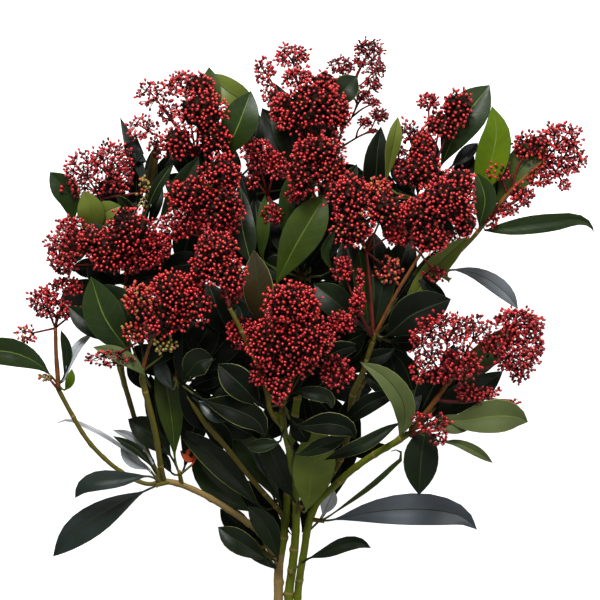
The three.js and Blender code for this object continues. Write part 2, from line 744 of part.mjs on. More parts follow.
function growLeaf(whorl, leaf) {
  const start = point(whorl.at);
  const end = point(whorl.to);
  const axis = new THREE.Vector3().subVectors(end, start).normalize();
  const foot = start.clone().lerp(end, LEAF_FOOT);
  for (const { size, bend, turn, lift } of leafTries()) {
    const tip = point(leaf.tip);
    tip.z += lift;
    const from = leaf.from ? point(leaf.from) : leafStart(foot, axis, tip);
    tip.lerp(from, 1 - size);
    const shape = { wide: leaf.wide * size, roll: (leaf.roll ?? 0) + turn, bend: (leaf.bend ?? 0) + bend };
    const solid = leafSolid(foot, from, tip, shape);
    if (solid.boundingBox().min[2] > FLOOR_CLEAR && isClear(solid, whorl.name)) {
      grow(whorl.name, solid);
      return true;
    }
  }
  return false;
}

function growLeaves() {
  for (const whorl of WHORLS) {
    for (const leaf of whorl.leaves) growLeaf(whorl, leaf);
  }
}

// A few buds stand out of each part, spread evenly over it and turned by chance.
function growBuds() {
  for (const bloom of BLOOMS) {
    for (const part of bloom.parts) {
      const centre = point(part);
      const reach = new THREE.Vector3(part[3], part[4], part[5]);
      const count = Math.round(((reach.x + reach.y + reach.z) / 3) * BUDS_PER_SIZE);
      for (let i = 0; i < count; i += 1) {
        const height = 1 - (2 * (i + 0.5)) / count;
        const ring = Math.sqrt(1 - height * height);
        const turn = i * GOLDEN_TURN + random() * BUD_SCATTER;
        const place = new THREE.Vector3(ring * Math.cos(turn), ring * Math.sin(turn), height);
        place.multiply(reach);
        const out = place.length();
        place.multiplyScalar((out - BUD_RADIUS * BUD_INSET) / out).add(centre);
        const bud = budSolid(place, BUD_RADIUS, turn);
        if (isClear(bud, bloom.name)) grow(bloom.name, bud);
      }
    }
  }
}

// The heads that the bunch rests on are pressed flat where they meet the surface.
function restOnSurface() {
  for (const bloom of BLOOMS.filter((head) => head.rests)) {
    const node = nodes.get(bloom.name);
    node.solid = node.solid.trimByPlane([0, 0, 1], 0);
  }
}

growLimbs();
growWhorlTwigs();
growStalks();
growCores();
growLeaves();
growBuds();
restOnSurface();

const group = new THREE.Group();
for (const [name, node] of nodes) {
  const geometry = geometryOf(largestPiece(node.solid));
  const mesh = new THREE.Mesh(geometry, new THREE.MeshStandardMaterial(node.look));
  mesh.name = name;
  group.add(mesh);
}
export default group;
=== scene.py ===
"""A bunch of three cut, branching skimmia stems, lying on a pale table.

The stems, leaves and flower heads are laid out on a square sheet seen from above: u runs
right, v runs towards the cut ends, and h is the height above the table.
"""

import logging
import math
import random
from dataclasses import dataclass, field
from enum import Enum
from typing import Callable, Iterable, Optional, Sequence

import bmesh
import bpy
import numpy as np
from mathutils import Matrix, Vector

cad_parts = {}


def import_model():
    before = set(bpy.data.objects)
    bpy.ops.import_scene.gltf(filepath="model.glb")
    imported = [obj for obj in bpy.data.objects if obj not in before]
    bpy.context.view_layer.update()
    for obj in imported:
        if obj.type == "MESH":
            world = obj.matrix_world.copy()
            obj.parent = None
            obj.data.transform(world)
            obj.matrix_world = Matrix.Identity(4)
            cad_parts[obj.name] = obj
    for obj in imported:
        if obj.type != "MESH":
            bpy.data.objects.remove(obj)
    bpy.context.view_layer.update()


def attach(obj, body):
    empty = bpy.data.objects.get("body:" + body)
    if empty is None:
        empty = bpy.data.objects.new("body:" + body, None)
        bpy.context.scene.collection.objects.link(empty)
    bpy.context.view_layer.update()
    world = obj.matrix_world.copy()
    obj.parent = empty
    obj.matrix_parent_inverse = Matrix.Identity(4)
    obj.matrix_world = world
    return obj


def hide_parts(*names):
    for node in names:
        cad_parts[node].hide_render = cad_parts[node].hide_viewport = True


LOG = logging.getLogger("skimmia")
Spot = tuple[float, float, float]
Colour = tuple[float, float, float]

# ------------------------------------------------------------------ the layout sheet

MM = 0.001
UNIT = 0.85 * MM
DEPTH = 1.16 * MM
SHEET = 600.0
ORIGIN_X = -20.5 * MM
ORIGIN_Y = 216.0 * MM
CAMERA_HEIGHT = 8.0
FOCUS_HEIGHT = 0.11
UP = Vector((0.0, 0.0, 1.0))
GOLDEN_TURN = math.pi * (3.0 - math.sqrt(5.0))
SEED = 1851


def place(spot: Sequence[float]) -> Vector:
    """Turn a spot on the sheet into a point of the part.

    Args:
        spot: u, v and h, with anything after them ignored.

    Returns:
        The point, in metres.
    """
    u, v, h = spot[:3]
    return Vector(((u - SHEET / 2) * UNIT - ORIGIN_X, (SHEET - v) * UNIT - ORIGIN_Y, h * DEPTH))


def seen(spot: Sequence[float]) -> Vector:
    """Turn a spot on the sheet into the point that covers it from the camera.

    Args:
        spot: u, v and h, with anything after them ignored.

    Returns:
        The point, in metres.
    """
    point, middle = place(spot), place((SHEET / 2, SHEET / 2, 0))
    grow = (CAMERA_HEIGHT - point.z) / (CAMERA_HEIGHT - FOCUS_HEIGHT)
    return Vector((middle.x + (point.x - middle.x) * grow, middle.y + (point.y - middle.y) * grow, point.z))


def srgb(red: int, green: int, blue: int) -> Colour:
    """Turn display values into the linear colour a shader takes.

    Args:
        red: 0 to 255.
        green: 0 to 255.
        blue: 0 to 255.

    Returns:
        The linear colour.
    """
    def linear(value: int) -> float:
        """Undo the display curve for one channel."""
        part = value / 255.0
        return part / 12.92 if part <= 0.04045 else ((part + 0.055) / 1.055) ** 2.4

    return (linear(red), linear(green), linear(blue))


class Route:
    """A smooth curve through a few points, measured along its length."""

    STEPS = 24

    def __init__(self, points: Sequence[Vector]) -> None:
        """Run a centripetal curve through the points.

        Args:
            points: Two or more points in metres.
        """
        given = [np.array(p, float) for p in points]
        if len(given) == 2:
            dense = [given[0] + (given[1] - given[0]) * i / self.STEPS for i in range(self.STEPS + 1)]
        else:
            ends = [2 * given[0] - given[1], *given, 2 * given[-1] - given[-2]]
            dense = [given[0]]
            for i in range(1, len(ends) - 2):
                dense.extend(self._span(*ends[i - 1:i + 3]))
        self.points = np.array(dense)
        steps = np.linalg.norm(np.diff(self.points, axis=0), axis=1)
        self.marks = np.concatenate([[0.0], np.cumsum(steps)])
        self.length = float(self.marks[-1])

    def _span(self, a: np.ndarray, b: np.ndarray, c: np.ndarray, d: np.ndarray) -> list[np.ndarray]:
        """Give the curve's points from b, left out, to c, kept."""
        knots = [0.0]
        for p, q in ((a, b), (b, c), (c, d)):
            knots.append(knots[-1] + max(1e-6, float(np.linalg.norm(q - p))) ** 0.5)
        out = []
        for i in range(1, self.STEPS + 1):
            t = knots[1] + (knots[2] - knots[1]) * i / self.STEPS

            def mix(p: np.ndarray, q: np.ndarray, s: float, e: float) -> np.ndarray:
                """Blend two points for the knots s and e."""
                return ((e - t) * p + (t - s) * q) / (e - s)

            one = mix(a, b, knots[0], knots[1])
            two = mix(b, c, knots[1], knots[2])
            three = mix(c, d, knots[2], knots[3])
            first = mix(one, two, knots[0], knots[2])
            second = mix(two, three, knots[1], knots[3])
            out.append(mix(first, second, knots[1], knots[2]))
        return out

    def at(self, parts: Iterable[float]) -> np.ndarray:
        """Give the points at parts of the length, 0 to 1, one row each."""
        where = np.asarray(list(parts), float) * self.length
        return np.stack([np.interp(where, self.marks, self.points[:, k]) for k in range(3)], axis=1)

    def directions(self, parts: Iterable[float]) -> np.ndarray:
        """Give the unit directions at parts of the length."""
        parts = np.asarray(list(parts), float)
        small = 0.004
        way = self.at(np.clip(parts + small, 0, 1)) - self.at(np.clip(parts - small, 0, 1))
        return way / np.linalg.norm(way, axis=1, keepdims=True)


def carried_frames(ways: np.ndarray) -> tuple[np.ndarray, np.ndarray]:
    """Carry a pair of cross directions along a curve without twist.

    Args:
        ways: Unit directions along the curve.

    Returns:
        Two arrays of unit vectors, square to the directions and to each other.
    """
    first = np.cross(ways[0], (0.0, 0.0, 1.0))
    if np.linalg.norm(first) < 0.2:
        first = np.cross(ways[0], (1.0, 0.0, 0.0))
    sides = []
    for way in ways:
        first = first - way * np.dot(first, way)
        first = first / np.linalg.norm(first)
        sides.append(first)
    side = np.array(sides)
    return side, np.cross(ways, side)


# ------------------------------------------------------------------ finishes

COLOUR_A, COLOUR_B, COLOUR_OUT = 6, 7, 2
VECTOR, NUMBER, COLOUR = "NodeSocketVector", "NodeSocketFloat", "NodeSocketColor"
Sockets = dict[object, object]


class NodeWork:
    """A node tree, with short ways to add, set and join its nodes."""

    def __init__(self, tree: bpy.types.NodeTree) -> None:
        """Work on a tree.

        Args:
            tree: The tree.
        """
        self.tree = tree

    def feed(self, node: bpy.types.Node, sockets: Sockets) -> None:
        """Set or join a node's inputs.

        Args:
            node: The node.
            sockets: For each input, by name or number, its value or the output that feeds it.
        """
        for key, value in sockets.items():
            if isinstance(value, bpy.types.NodeSocket):
                self.tree.links.new(value, node.inputs[key])
            else:
                node.inputs[key].default_value = value

    def node(self, kind: str, sockets: Optional[Sockets] = None, **settings: object) -> bpy.types.Node:
        """Add a node.

        Args:
            kind: Its type.
            sockets: Its inputs, as in feed.
            settings: Its properties.

        Returns:
            The node.
        """
        made = self.tree.nodes.new(kind)
        for key, value in settings.items():
            setattr(made, key, value)
        self.feed(made, sockets or {})
        return made

    def math(self, operation: str, *terms: object) -> bpy.types.NodeSocket:
        """Add a math node on outputs or numbers and return its output."""
        return self.node("ShaderNodeMath", dict(enumerate(terms)), operation=operation).outputs[0]

    def mix(self, factor: object, one: object, other: object) -> bpy.types.NodeSocket:
        """Mix two colours and return the output."""
        sockets = {"Factor": factor, COLOUR_A: one, COLOUR_B: other}
        return self.node("ShaderNodeMix", sockets, data_type="RGBA").outputs[COLOUR_OUT]

    def mapped(self, value: bpy.types.NodeSocket, low: float, high: float, least: float = 0.0) -> bpy.types.NodeSocket:
        """Map low to high onto least to 1, clamped, and return the output."""
        sockets = {"Value": value, "From Min": low, "From Max": high, "To Min": least}
        return self.node("ShaderNodeMapRange", sockets).outputs["Result"]


class ShaderGroup(NodeWork):
    """A shared effect, built once and placed in each material with its own values."""

    def __init__(self, name: str, inputs: dict[str, str], outputs: dict[str, str]) -> None:
        """Start an empty group with its sockets.

        Args:
            name: The group's name.
            inputs: Socket names and their types.
            outputs: Socket names and their types.
        """
        super().__init__(bpy.data.node_groups.new(name, "ShaderNodeTree"))
        for way, sockets in (("INPUT", inputs), ("OUTPUT", outputs)):
            for label, kind in sockets.items():
                self.tree.interface.new_socket(name=label, in_out=way, socket_type=kind)
        self.source = self.tree.nodes.new("NodeGroupInput").outputs
        self.sink = self.tree.nodes.new("NodeGroupOutput")


class Material(NodeWork):
    """A new material with its shader."""

    def __init__(self, name: str) -> None:
        """Start it.

        Args:
            name: Its name.
        """
        self.made = bpy.data.materials.new(name)
        self.made.use_nodes = True
        super().__init__(self.made.node_tree)
        self.shader = self.tree.nodes["Principled BSDF"]
        self.spot = self.node("ShaderNodeTexCoord").outputs

    def clouded(self, effects: "Effects", finish: "CloudedFinish | BladeFinish") -> bpy.types.bpy_prop_collection:
        """Put a finish's two colours in as clouds.

        Args:
            effects: The shared groups.
            finish: The finish, for its colours, roughness and the scales of clouds and grain.

        Returns:
            The group's outputs.
        """
        sockets = {"Vector": self.spot["Object"], "Base": (*finish.base, 1.0), "Tint": (*finish.tint, 1.0),
                   "Scale": finish.scale, "Grain": finish.grain, "Rough": finish.rough}
        return self.node("ShaderNodeGroup", sockets, node_tree=effects.mottle).outputs

    def bump(self, height: bpy.types.NodeSocket, strength: float, distance: float) -> None:
        """Lead a height to the shader's normal.

        Args:
            height: The output that gives the height.
            strength: The bump's strength.
            distance: The bump's depth in metres.
        """
        made = self.node("ShaderNodeBump", {"Strength": strength, "Distance": distance, "Height": height})
        self.feed(self.shader, {"Normal": made.outputs["Normal"]})


class Effects:
    """The shader groups that the finishes share."""

    def __init__(self) -> None:
        """Build every group."""
        self.mottle = self._mottle()
        self.veins = self._veins()
        self.bark = self._bark()

    @staticmethod
    def _mottle() -> bpy.types.NodeTree:
        """Build clouds of a second colour with a fine grain on top.

        Returns:
            The group, with a colour, a height and a roughness.
        """
        group = ShaderGroup(
            "mottle",
            {"Vector": VECTOR, "Base": COLOUR, "Tint": COLOUR, "Scale": NUMBER, "Grain": NUMBER, "Rough": NUMBER},
            {"Color": COLOUR, "Height": NUMBER, "Roughness": NUMBER},
        )
        given = group.source
        clouds = group.node("ShaderNodeTexNoise", {"Detail": 3.0, "Vector": given["Vector"], "Scale": given["Scale"]})
        grain = group.node("ShaderNodeTexNoise", {"Detail": 2.0, "Vector": given["Vector"], "Scale": given["Grain"]})
        spread = group.mapped(clouds.outputs["Fac"], 0.35, 0.68)
        shift = group.math("MULTIPLY", group.math("SUBTRACT", grain.outputs["Fac"], 0.5), 0.3)
        group.feed(group.sink, {
            "Color": group.mix(spread, given["Base"], given["Tint"]),
            "Height": grain.outputs["Fac"],
            "Roughness": group.math("ADD", shift, given["Rough"]),
        })
        return group.tree

    @staticmethod
    def _veins() -> bpy.types.NodeTree:
        """Build the side veins of a leaf, slanting from the midrib to the margin.

        Returns:
            The group, with a mask that is 1 on a vein.
        """
        group = ShaderGroup("side_veins", {"Vector": VECTOR, "Count": NUMBER, "Slant": NUMBER}, {"Mask": NUMBER})
        given = group.source
        split = group.node("ShaderNodeSeparateXYZ", {0: given["Vector"]})
        across = group.math("ABSOLUTE", group.math("SUBTRACT", split.outputs[0], 0.5))
        slant = group.math("MULTIPLY", across, given["Slant"])
        along = group.math("MULTIPLY", split.outputs[1], given["Count"])
        phase = group.math("FRACT", group.math("SUBTRACT", along, slant))
        wave = group.math("ABSOLUTE", group.math("SUBTRACT", phase, 0.5))
        group.feed(group.sink, {"Mask": group.mapped(wave, 0.09, 0.0)})
        return group.tree

    @staticmethod
    def _bark() -> bpy.types.NodeTree:
        """Build young bark: long streaks and scattered pale pores.

        Returns:
            The group, with masks for streaks and pores and a height.
        """
        group = ShaderGroup("bark", {"Vector": VECTOR, "Pores": NUMBER},
                            {"Streaks": NUMBER, "Pores": NUMBER, "Height": NUMBER})
        given = group.source
        stretch = group.node("ShaderNodeMapping", {"Scale": (5.0, 0.22, 1.0), "Vector": given["Vector"]})
        streaks = group.node("ShaderNodeTexNoise", {"Scale": 1.6, "Detail": 4.0, "Vector": stretch.outputs[0]})
        dots = group.node("ShaderNodeTexVoronoi", {"Vector": given["Vector"], "Scale": given["Pores"]}, feature="F1")
        pore = group.mapped(dots.outputs["Distance"], 0.2, 0.1)
        raised = group.math("ADD", group.math("MULTIPLY", pore, 0.8), streaks.outputs["Fac"])
        streaked = group.mapped(streaks.outputs["Fac"], 0.38, 0.66)
        group.feed(group.sink, {"Streaks": streaked, "Pores": pore, "Height": raised})
        return group.tree


@dataclass(frozen=True)
class CloudedFinish:
    """A finish of two clouded colours with a fine grain, for buds, stalks, ribs and margins."""

    name: str
    base: Colour
    tint: Colour
    rough: float = 0.4
    scale: float = 220.0
    grain: float = 1500.0
    coat: float = 0.0
    depth: float = 0.15
    specular: float = 0.5

    def build(self, effects: Effects) -> bpy.types.Material:
        """Make the material.

        Args:
            effects: The shared groups.

        Returns:
            The material.
        """
        work = Material(self.name)
        cloud = work.clouded(effects, self)
        work.feed(work.shader, {
            "Base Color": cloud["Color"], "Roughness": cloud["Roughness"], "Coat Weight": self.coat,
            "Coat Roughness": 0.2, "Specular IOR Level": self.specular})
        work.bump(cloud["Height"], 0.3, self.depth * MM)
        return work.made


@dataclass(frozen=True)
class BladeFinish:
    """The upper or lower side of a leathery leaf, with its side veins."""

    name: str
    base: Colour
    tint: Colour
    vein: Colour
    rough: float = 0.3
    coat: float = 0.0
    specular: float = 0.5
    vein_share: float = 0.14
    vein_count: float = 9.0
    vein_slant: float = 3.2
    scale: float = 24.0
    grain: float = 260.0

    def build(self, effects: Effects) -> bpy.types.Material:
        """Make the material.

        Args:
            effects: The shared groups.

        Returns:
            The material.
        """
        work = Material(self.name)
        cloud = work.clouded(effects, self)
        sockets = {"Vector": work.spot["UV"], "Count": self.vein_count, "Slant": self.vein_slant}
        mask = work.node("ShaderNodeGroup", sockets, node_tree=effects.veins).outputs["Mask"]
        share = work.math("MULTIPLY", mask, self.vein_share)
        work.feed(work.shader, {
            "Base Color": work.mix(share, cloud["Color"], (*self.vein, 1.0)), "Roughness": cloud["Roughness"],
            "Coat Weight": self.coat, "Coat Roughness": 0.3, "Specular IOR Level": self.specular})
        work.bump(work.math("MULTIPLY_ADD", mask, -0.8, cloud["Height"]), 0.12, 0.25 * MM)
        return work.made


@dataclass(frozen=True)
class BarkFinish:
    """Young bark on the piece's own chart, with streaks and pale pores."""

    name: str
    base: Colour
    streak: Colour
    pore: Colour
    rough: float = 0.55
    pores: float = 0.62

    def build(self, effects: Effects) -> bpy.types.Material:
        """Make the material.

        Args:
            effects: The shared groups.

        Returns:
            The material.
        """
        work = Material(self.name)
        sockets = {"Vector": work.spot["UV"], "Pores": self.pores}
        bark = work.node("ShaderNodeGroup", sockets, node_tree=effects.bark).outputs
        streaked = work.mix(bark["Streaks"], (*self.base, 1.0), (*self.streak, 1.0))
        dotted = work.mix(bark["Pores"], streaked, (*self.pore, 1.0))
        work.feed(work.shader, {"Base Color": dotted, "Roughness": self.rough, "Specular IOR Level": 0.2})
        work.bump(bark["Height"], 0.5, 0.3 * MM)
        return work.made


# ------------------------------------------------------------------ joined meshes


def into_scene(name: str, data: bpy.types.ID, materials: Sequence[bpy.types.Material] = ()) -> bpy.types.Object:
    """Make an object of a mesh, a lamp or a camera and put it into the scene.

    Args:
        name: The object's name.
        data: What it holds.
        materials: The material slots of a mesh.

    Returns:
        The object.
    """
    for material in materials:
        data.materials.append(material)
    thing = bpy.data.objects.new(name, data)
    bpy.context.scene.collection.objects.link(thing)
    return thing


class JoinedMesh:
    """Many small closed shapes of one kind, gathered into one mesh."""

    def __init__(self) -> None:
        """Start with nothing in it."""
        self.places: list[np.ndarray] = []
        self.corners: list[np.ndarray] = []
        self.sizes: list[np.ndarray] = []
        self.looks: list[np.ndarray] = []
        self.charts: list[np.ndarray] = []
        self.count = 0

    def add(self, places: np.ndarray, corners: np.ndarray, sizes: np.ndarray,
            looks: np.ndarray, charts: Optional[np.ndarray] = None) -> None:
        """Add one shape, or many in one go.

        Args:
            places: Vertex positions, one row each.
            corners: Vertex numbers of the faces' corners, in a row.
            sizes: How many corners each face has.
            looks: The material slot of each face.
            charts: Chart position of each corner.
        """
        self.places.append(places)
        self.corners.append(corners + self.count)
        self.sizes.append(sizes)
        self.looks.append(looks)
        self.charts.append(charts if charts is not None else np.zeros((len(corners), 2)))
        self.count += len(places)

    def build(self, name: str, materials: Sequence[bpy.types.Material]) -> bpy.types.Object:
        """Make the object.

        Args:
            name: The piece's name.
            materials: Its material slots.

        Returns:
            The object, linked to the scene.
        """
        mesh = bpy.data.meshes.new(name)
        places = np.concatenate(self.places)
        corners = np.concatenate(self.corners).astype(np.int32)
        sizes = np.concatenate(self.sizes)
        mesh.vertices.add(len(places))
        mesh.vertices.foreach_set("co", places.astype(np.float32).ravel())
        mesh.loops.add(len(corners))
        mesh.loops.foreach_set("vertex_index", corners)
        mesh.polygons.add(len(sizes))
        starts = np.concatenate([[0], np.cumsum(sizes)[:-1]]).astype(np.int32)
        mesh.polygons.foreach_set("loop_start", starts)
        mesh.polygons.foreach_set("material_index", np.concatenate(self.looks).astype(np.int32))
        mesh.update(calc_edges=True)
        chart = mesh.uv_layers.new(name="chart")
        chart.data.foreach_set("uv", np.concatenate(self.charts).astype(np.float32).ravel())
        mesh.polygons.foreach_set("use_smooth", np.ones(len(sizes), bool))
        mesh.update()
        return into_scene(name, mesh, materials)


def finish_piece(thing: bpy.types.Object, nodes: Sequence[str]) -> None:
    """Let a piece ride on the part and stand for its nodes.

    Args:
        thing: The piece.
        nodes: The nodes it replaces.
    """
    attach(thing, "root")
    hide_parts(*nodes)
    triangles = sum(len(face.vertices) - 2 for face in thing.data.polygons)
    LOG.info("%s: %d triangles, stands for %d nodes", thing.name, triangles, len(nodes))


# ------------------------------------------------------------------ stems


class Bark(Enum):
    """The kinds of bark, by material slot."""

    GREEN = 0
    TAN = 1
    OLIVE = 3


BUD_SCALE_SLOT = 2


@dataclass(frozen=True)
class Limb:
    """One tapering stem, bough or shoot, from its carrier outward. Radii in mm."""

    name: str
    radii: tuple[float, float]
    route: tuple[Spot, ...]
    bark: Bark = Bark.GREEN
    tan_below: float = 0.0


LIMBS = (
    Limb("stem_middle", (4.2, 2.5), ((288, 650, 4.4), (289, 597, 12), (292, 571, 18), (295, 545, 26),
         (296, 521, 36), (296, 498, 48), (293, 475, 62), (289, 450, 78), (284, 430, 92), (281, 412, 102))),
    Limb("stem_left", (4.3, 2.2), ((278, 650, 4.2), (278, 597, 12), (279, 566, 18), (283, 539, 22),
         (286, 510, 26), (288, 488, 30), (292, 440, 38), (300, 380, 50), (306, 320, 56),
         (308, 270, 59), (310, 192, 56)), tan_below=560),
    Limb("stem_right", (3.4, 2.8), ((297, 650, 4), (298, 597, 12), (301, 571, 18), (304.5, 552, 24),
         (309, 525, 34), (318, 503, 44), (331, 490.5, 54), (350, 472.5, 66), (372, 456.5, 79), (394, 443, 90),
         (408, 434, 97))),
    Limb("bough_left", (3, 2.6), ((278, 566, 18), (270, 552, 21), (262, 538, 24), (238, 518, 32),
         (200, 494.5, 45), (178, 485, 52), (163, 482, 58)), Bark.TAN),
    Limb("shoot_left_front", (2.5, 2.5), ((163, 481, 58), (160, 466, 68), (155, 432, 84),
         (148, 403, 96), (142, 378, 104)), Bark.OLIVE),
    Limb("shoot_left_tall", (2.3, 2), ((163, 481, 58), (154, 470, 52), (149, 460, 48), (143, 444, 46),
         (135, 424, 46), (128, 400, 50), (121, 370, 60), (122, 330, 72), (125, 292, 84)), Bark.OLIVE),
    Limb("shoot_far_left", (1.9, 2), ((163, 481, 58), (150, 485, 57), (137, 482, 57), (115, 469, 60),
         (95.5, 451, 64), (82, 434, 68), (66.5, 406, 76), (58, 390, 80)), Bark.OLIVE),
    Limb("shoot_inner_left", (2.3, 2.2), ((285, 520, 25), (271, 503, 38), (247, 475, 54),
         (226, 448, 68), (206, 425, 80), (193, 405, 88), (180, 387, 94)), Bark.OLIVE),
    Limb("shoot_centre_left", (2, 1.8), ((284, 429, 92), (271, 412, 104), (265, 386, 113),
         (256, 362, 119), (241, 329, 130), (230, 308, 136)), Bark.OLIVE),
    Limb("shoot_right_centre", (2.6, 2.4), ((305, 546, 25), (309, 526, 22), (318, 500, 27),
         (329, 481, 36), (342, 458, 49), (350, 425, 69), (352, 397, 84), (362, 374, 94), (373, 341, 104)),
         Bark.OLIVE),
    Limb("shoot_far_right", (2, 1.8), ((352, 400, 82), (375, 366, 74), (400, 325, 70), (427, 287, 74),
         (449, 262, 78), (472, 239, 82), (488, 219, 85)), Bark.OLIVE),
    Limb("shoot_back_right", (2, 1.8), ((346, 445, 60), (362, 380, 48), (380, 310, 46),
         (400, 250, 50), (418, 205, 56)), Bark.OLIVE),
    Limb("shoot_back_left", (2, 1.8), ((291, 450, 36), (270, 400, 32), (244, 320, 38),
         (222, 250, 46), (208, 205, 54)), Bark.OLIVE),
    Limb("shoot_left_back", (1.7, 1.5), ((134, 422, 46), (118, 370, 34), (106, 310, 36),
         (101, 262, 42), (100, 232, 48)), Bark.OLIVE),
)


@dataclass
class Stems:
    """The stems, the bough and the shoots, with swollen joints, leaf scars and bud scales."""

    sides: int = 16
    step: float = 1.7 * MM
    joint_gap: tuple[float, float] = (13.0, 24.0)
    joint_swell: float = 0.17
    joint_reach: float = 2.4
    scale_size: float = 2.6
    scales: int = 3
    ridges: tuple[float, float] = (0.035, 0.025)
    joint_edge: float = 2.5
    joint_even: float = 0.35
    twig_radii: tuple[float, float] = (2.2, 1.7)
    twig_sides: int = 10
    seed: int = SEED

    def tube(self, bm: bmesh.types.BMesh, route: Route, radii: tuple[float, float], look: int,
             rng: random.Random, lumpy: bool = True, sides: int = 0, tan_below: float = 0.0) -> None:
        """Run one tapering stem along a curve.

        Args:
            bm: The mesh that it joins.
            route: The curve.
            radii: First and last radius in mm.
            look: The material slot.
            rng: The source of chance.
            lumpy: Whether it has joints and ridges.
            sides: How many sides, or 0 for the usual number.
            tan_below: Sheet line past which the bark is tan.
        """
        around = sides or self.sides
        steps = max(2, round(route.length / self.step))
        parts = [i / steps for i in range(steps + 1)]
        centres = route.at(parts)
        side, other = carried_frames(route.directions(parts))
        joints, mark = [], rng.uniform(*self.joint_gap)
        while lumpy and mark < route.length / MM - 3:
            joints.append((mark, rng.uniform(0, 2 * math.pi), rng.uniform(0.7, 1.3)))
            mark += rng.uniform(*self.joint_gap)
        phase, before, tan_rows = rng.uniform(0, 6), set(bm.verts), set()
        grid = bmesh.ops.create_grid(bm, x_segments=around, y_segments=steps, size=1.0)
        chart = bm.loops.layers.uv.verify()
        girth = 2 * math.pi * radii[0]
        limit = place((0, tan_below, 0)).y if tan_below else -9.0
        faces = {face for vert in grid["verts"] for face in vert.link_faces}
        rows = {face: round((face.calc_center_median().y + 1) / 2 * steps - 0.5) for face in faces}
        for face in faces:
            face.smooth = True
            for loop in face.loops:
                loop[chart].uv = ((loop.vert.co.x + 1) / 2 * girth, (loop.vert.co.y + 1) / 2 * route.length / MM)
        for vert in grid["verts"]:
            row = round((vert.co.y + 1) / 2 * steps)
            turn = (vert.co.x + 1) / 2 * 2 * math.pi
            along = parts[row] * route.length / MM
            radius = radii[0] + (radii[1] - radii[0]) * parts[row]
            if lumpy:
                radius *= 1 + self.ridges[0] * math.sin(3 * turn + along * 0.13 + phase)
                radius *= 1 + self.ridges[1] * math.sin(5 * turn - along * 0.31) * math.sin(along * 0.9 + phase)
                for at, way, size in joints:
                    off = (along - at) / self.joint_reach
                    if abs(off) < 0.3 * size - 0.12:
                        tan_rows.add(row)
                    if abs(off) < self.joint_edge:
                        facing = max(0.0, math.cos(turn - way))
                        radius *= 1 + self.joint_swell * size * math.exp(-off * off) * (self.joint_even + facing)
            spot = centres[row] + (side[row] * math.cos(turn) + other[row] * math.sin(turn)) * radius * MM
            vert.co = Vector(spot)
        made = [vert for vert in bm.verts if vert not in before]
        bmesh.ops.remove_doubles(bm, verts=made, dist=1e-6)
        made = [vert for vert in bm.verts if vert not in before]
        rims = [edge for edge in {e for v in made for e in v.link_edges} if edge.is_boundary]
        caps = bmesh.ops.holes_fill(bm, edges=rims, sides=around)["faces"]
        faces = list({face for vert in made for face in vert.link_faces})
        bmesh.ops.recalc_face_normals(bm, faces=faces)
        for face in faces:
            tan = face.calc_center_median().y < limit or rows.get(face, -1) in tan_rows
            face.material_index = Bark.TAN.value if tan else look
        for cap in caps:
            cap.smooth = False

    def bud_scale(self, bm: bmesh.types.BMesh, where: Vector, way: Vector, size: float) -> None:
        """Set one pointed bud scale on a stem.

        Args:
            bm: The mesh that it joins.
            where: Its foot.
            way: The direction of its tip.
            size: Its width in mm.
        """
        turn = UP.rotation_difference(way.normalized()).to_matrix().to_4x4()
        shape = Matrix.Translation(where) @ turn @ Matrix.Diagonal((1.0, 0.7, 1.0, 1.0))
        made = bmesh.ops.create_cone(
            bm, cap_ends=True, segments=7, radius1=size * 0.5 * MM, radius2=size * 0.12 * MM,
            depth=size * 1.7 * MM, matrix=shape @ Matrix.Translation((0, 0, size * 0.7 * MM)))
        for face in {face for vert in made["verts"] for face in vert.link_faces}:
            face.material_index = BUD_SCALE_SLOT
            face.smooth = True

    def build(self, name: str, limbs: Sequence[Limb], whorls: Sequence["Whorl"],
              materials: Sequence[bpy.types.Material]) -> bpy.types.Object:
        """Make one piece of stems.

        Args:
            name: The piece's name.
            limbs: Its limbs.
            whorls: The whorls whose twigs it carries.
            materials: Green bark, tan bark, bud scale and olive bark.

        Returns:
            The object.
        """
        rng = random.Random(self.seed)
        bm = bmesh.new()
        for limb in limbs:
            route = Route([place(spot) for spot in limb.route])
            self.tube(bm, route, limb.radii, limb.bark.value, rng, tan_below=limb.tan_below)
        for whorl in whorls:
            start, end = place(whorl.at), place(whorl.to)
            self.tube(bm, Route([start, end]), self.twig_radii, Bark.OLIVE.value, rng,
                      lumpy=False, sides=self.twig_sides)
            for i in range(self.scales):
                turn = i * 2.1 + rng.uniform(0, 1)
                out = Vector((math.cos(turn), math.sin(turn), 0.4)) + (end - start).normalized() * 1.3
                self.bud_scale(bm, start.lerp(end, 0.8), out, self.scale_size * rng.uniform(0.8, 1.3))
        mesh = bpy.data.meshes.new(name)
        bm.to_mesh(mesh)
        bm.free()
        return into_scene(name, mesh, materials)


# ------------------------------------------------------------------ leaves


class Tone(Enum):
    """The tones of a leaf's upper side, by material slot. The slate, steel, silver and dusk tones hold a painted
    reflection of the white studio light on the glossy leaf.
    """

    DARK = 0
    # The black tone is painted shade: a near-black leaf, darker than the living leaf, for leaves in the shaded depth.
    BLACK = 1
    SLATE = 2
    DEEP = 3
    GREEN = 4
    OLIVE = 5
    BRIGHT = 6
    PALE = 7
    BRONZE = 8
    SILVER = 9
    RUST = 10
    DUSK = 11
    STEEL = 18


BACK_SLOT = 12
DIM_RIB = 13
LIGHT_RIB = 14
GREEN_RIM = 15
# The cream rim is partly the margin's own paler colour and partly a painted highlight where the edge catches the
# light.
CREAM_AND_LIT_RIM = 16
STALK_SLOT = 17


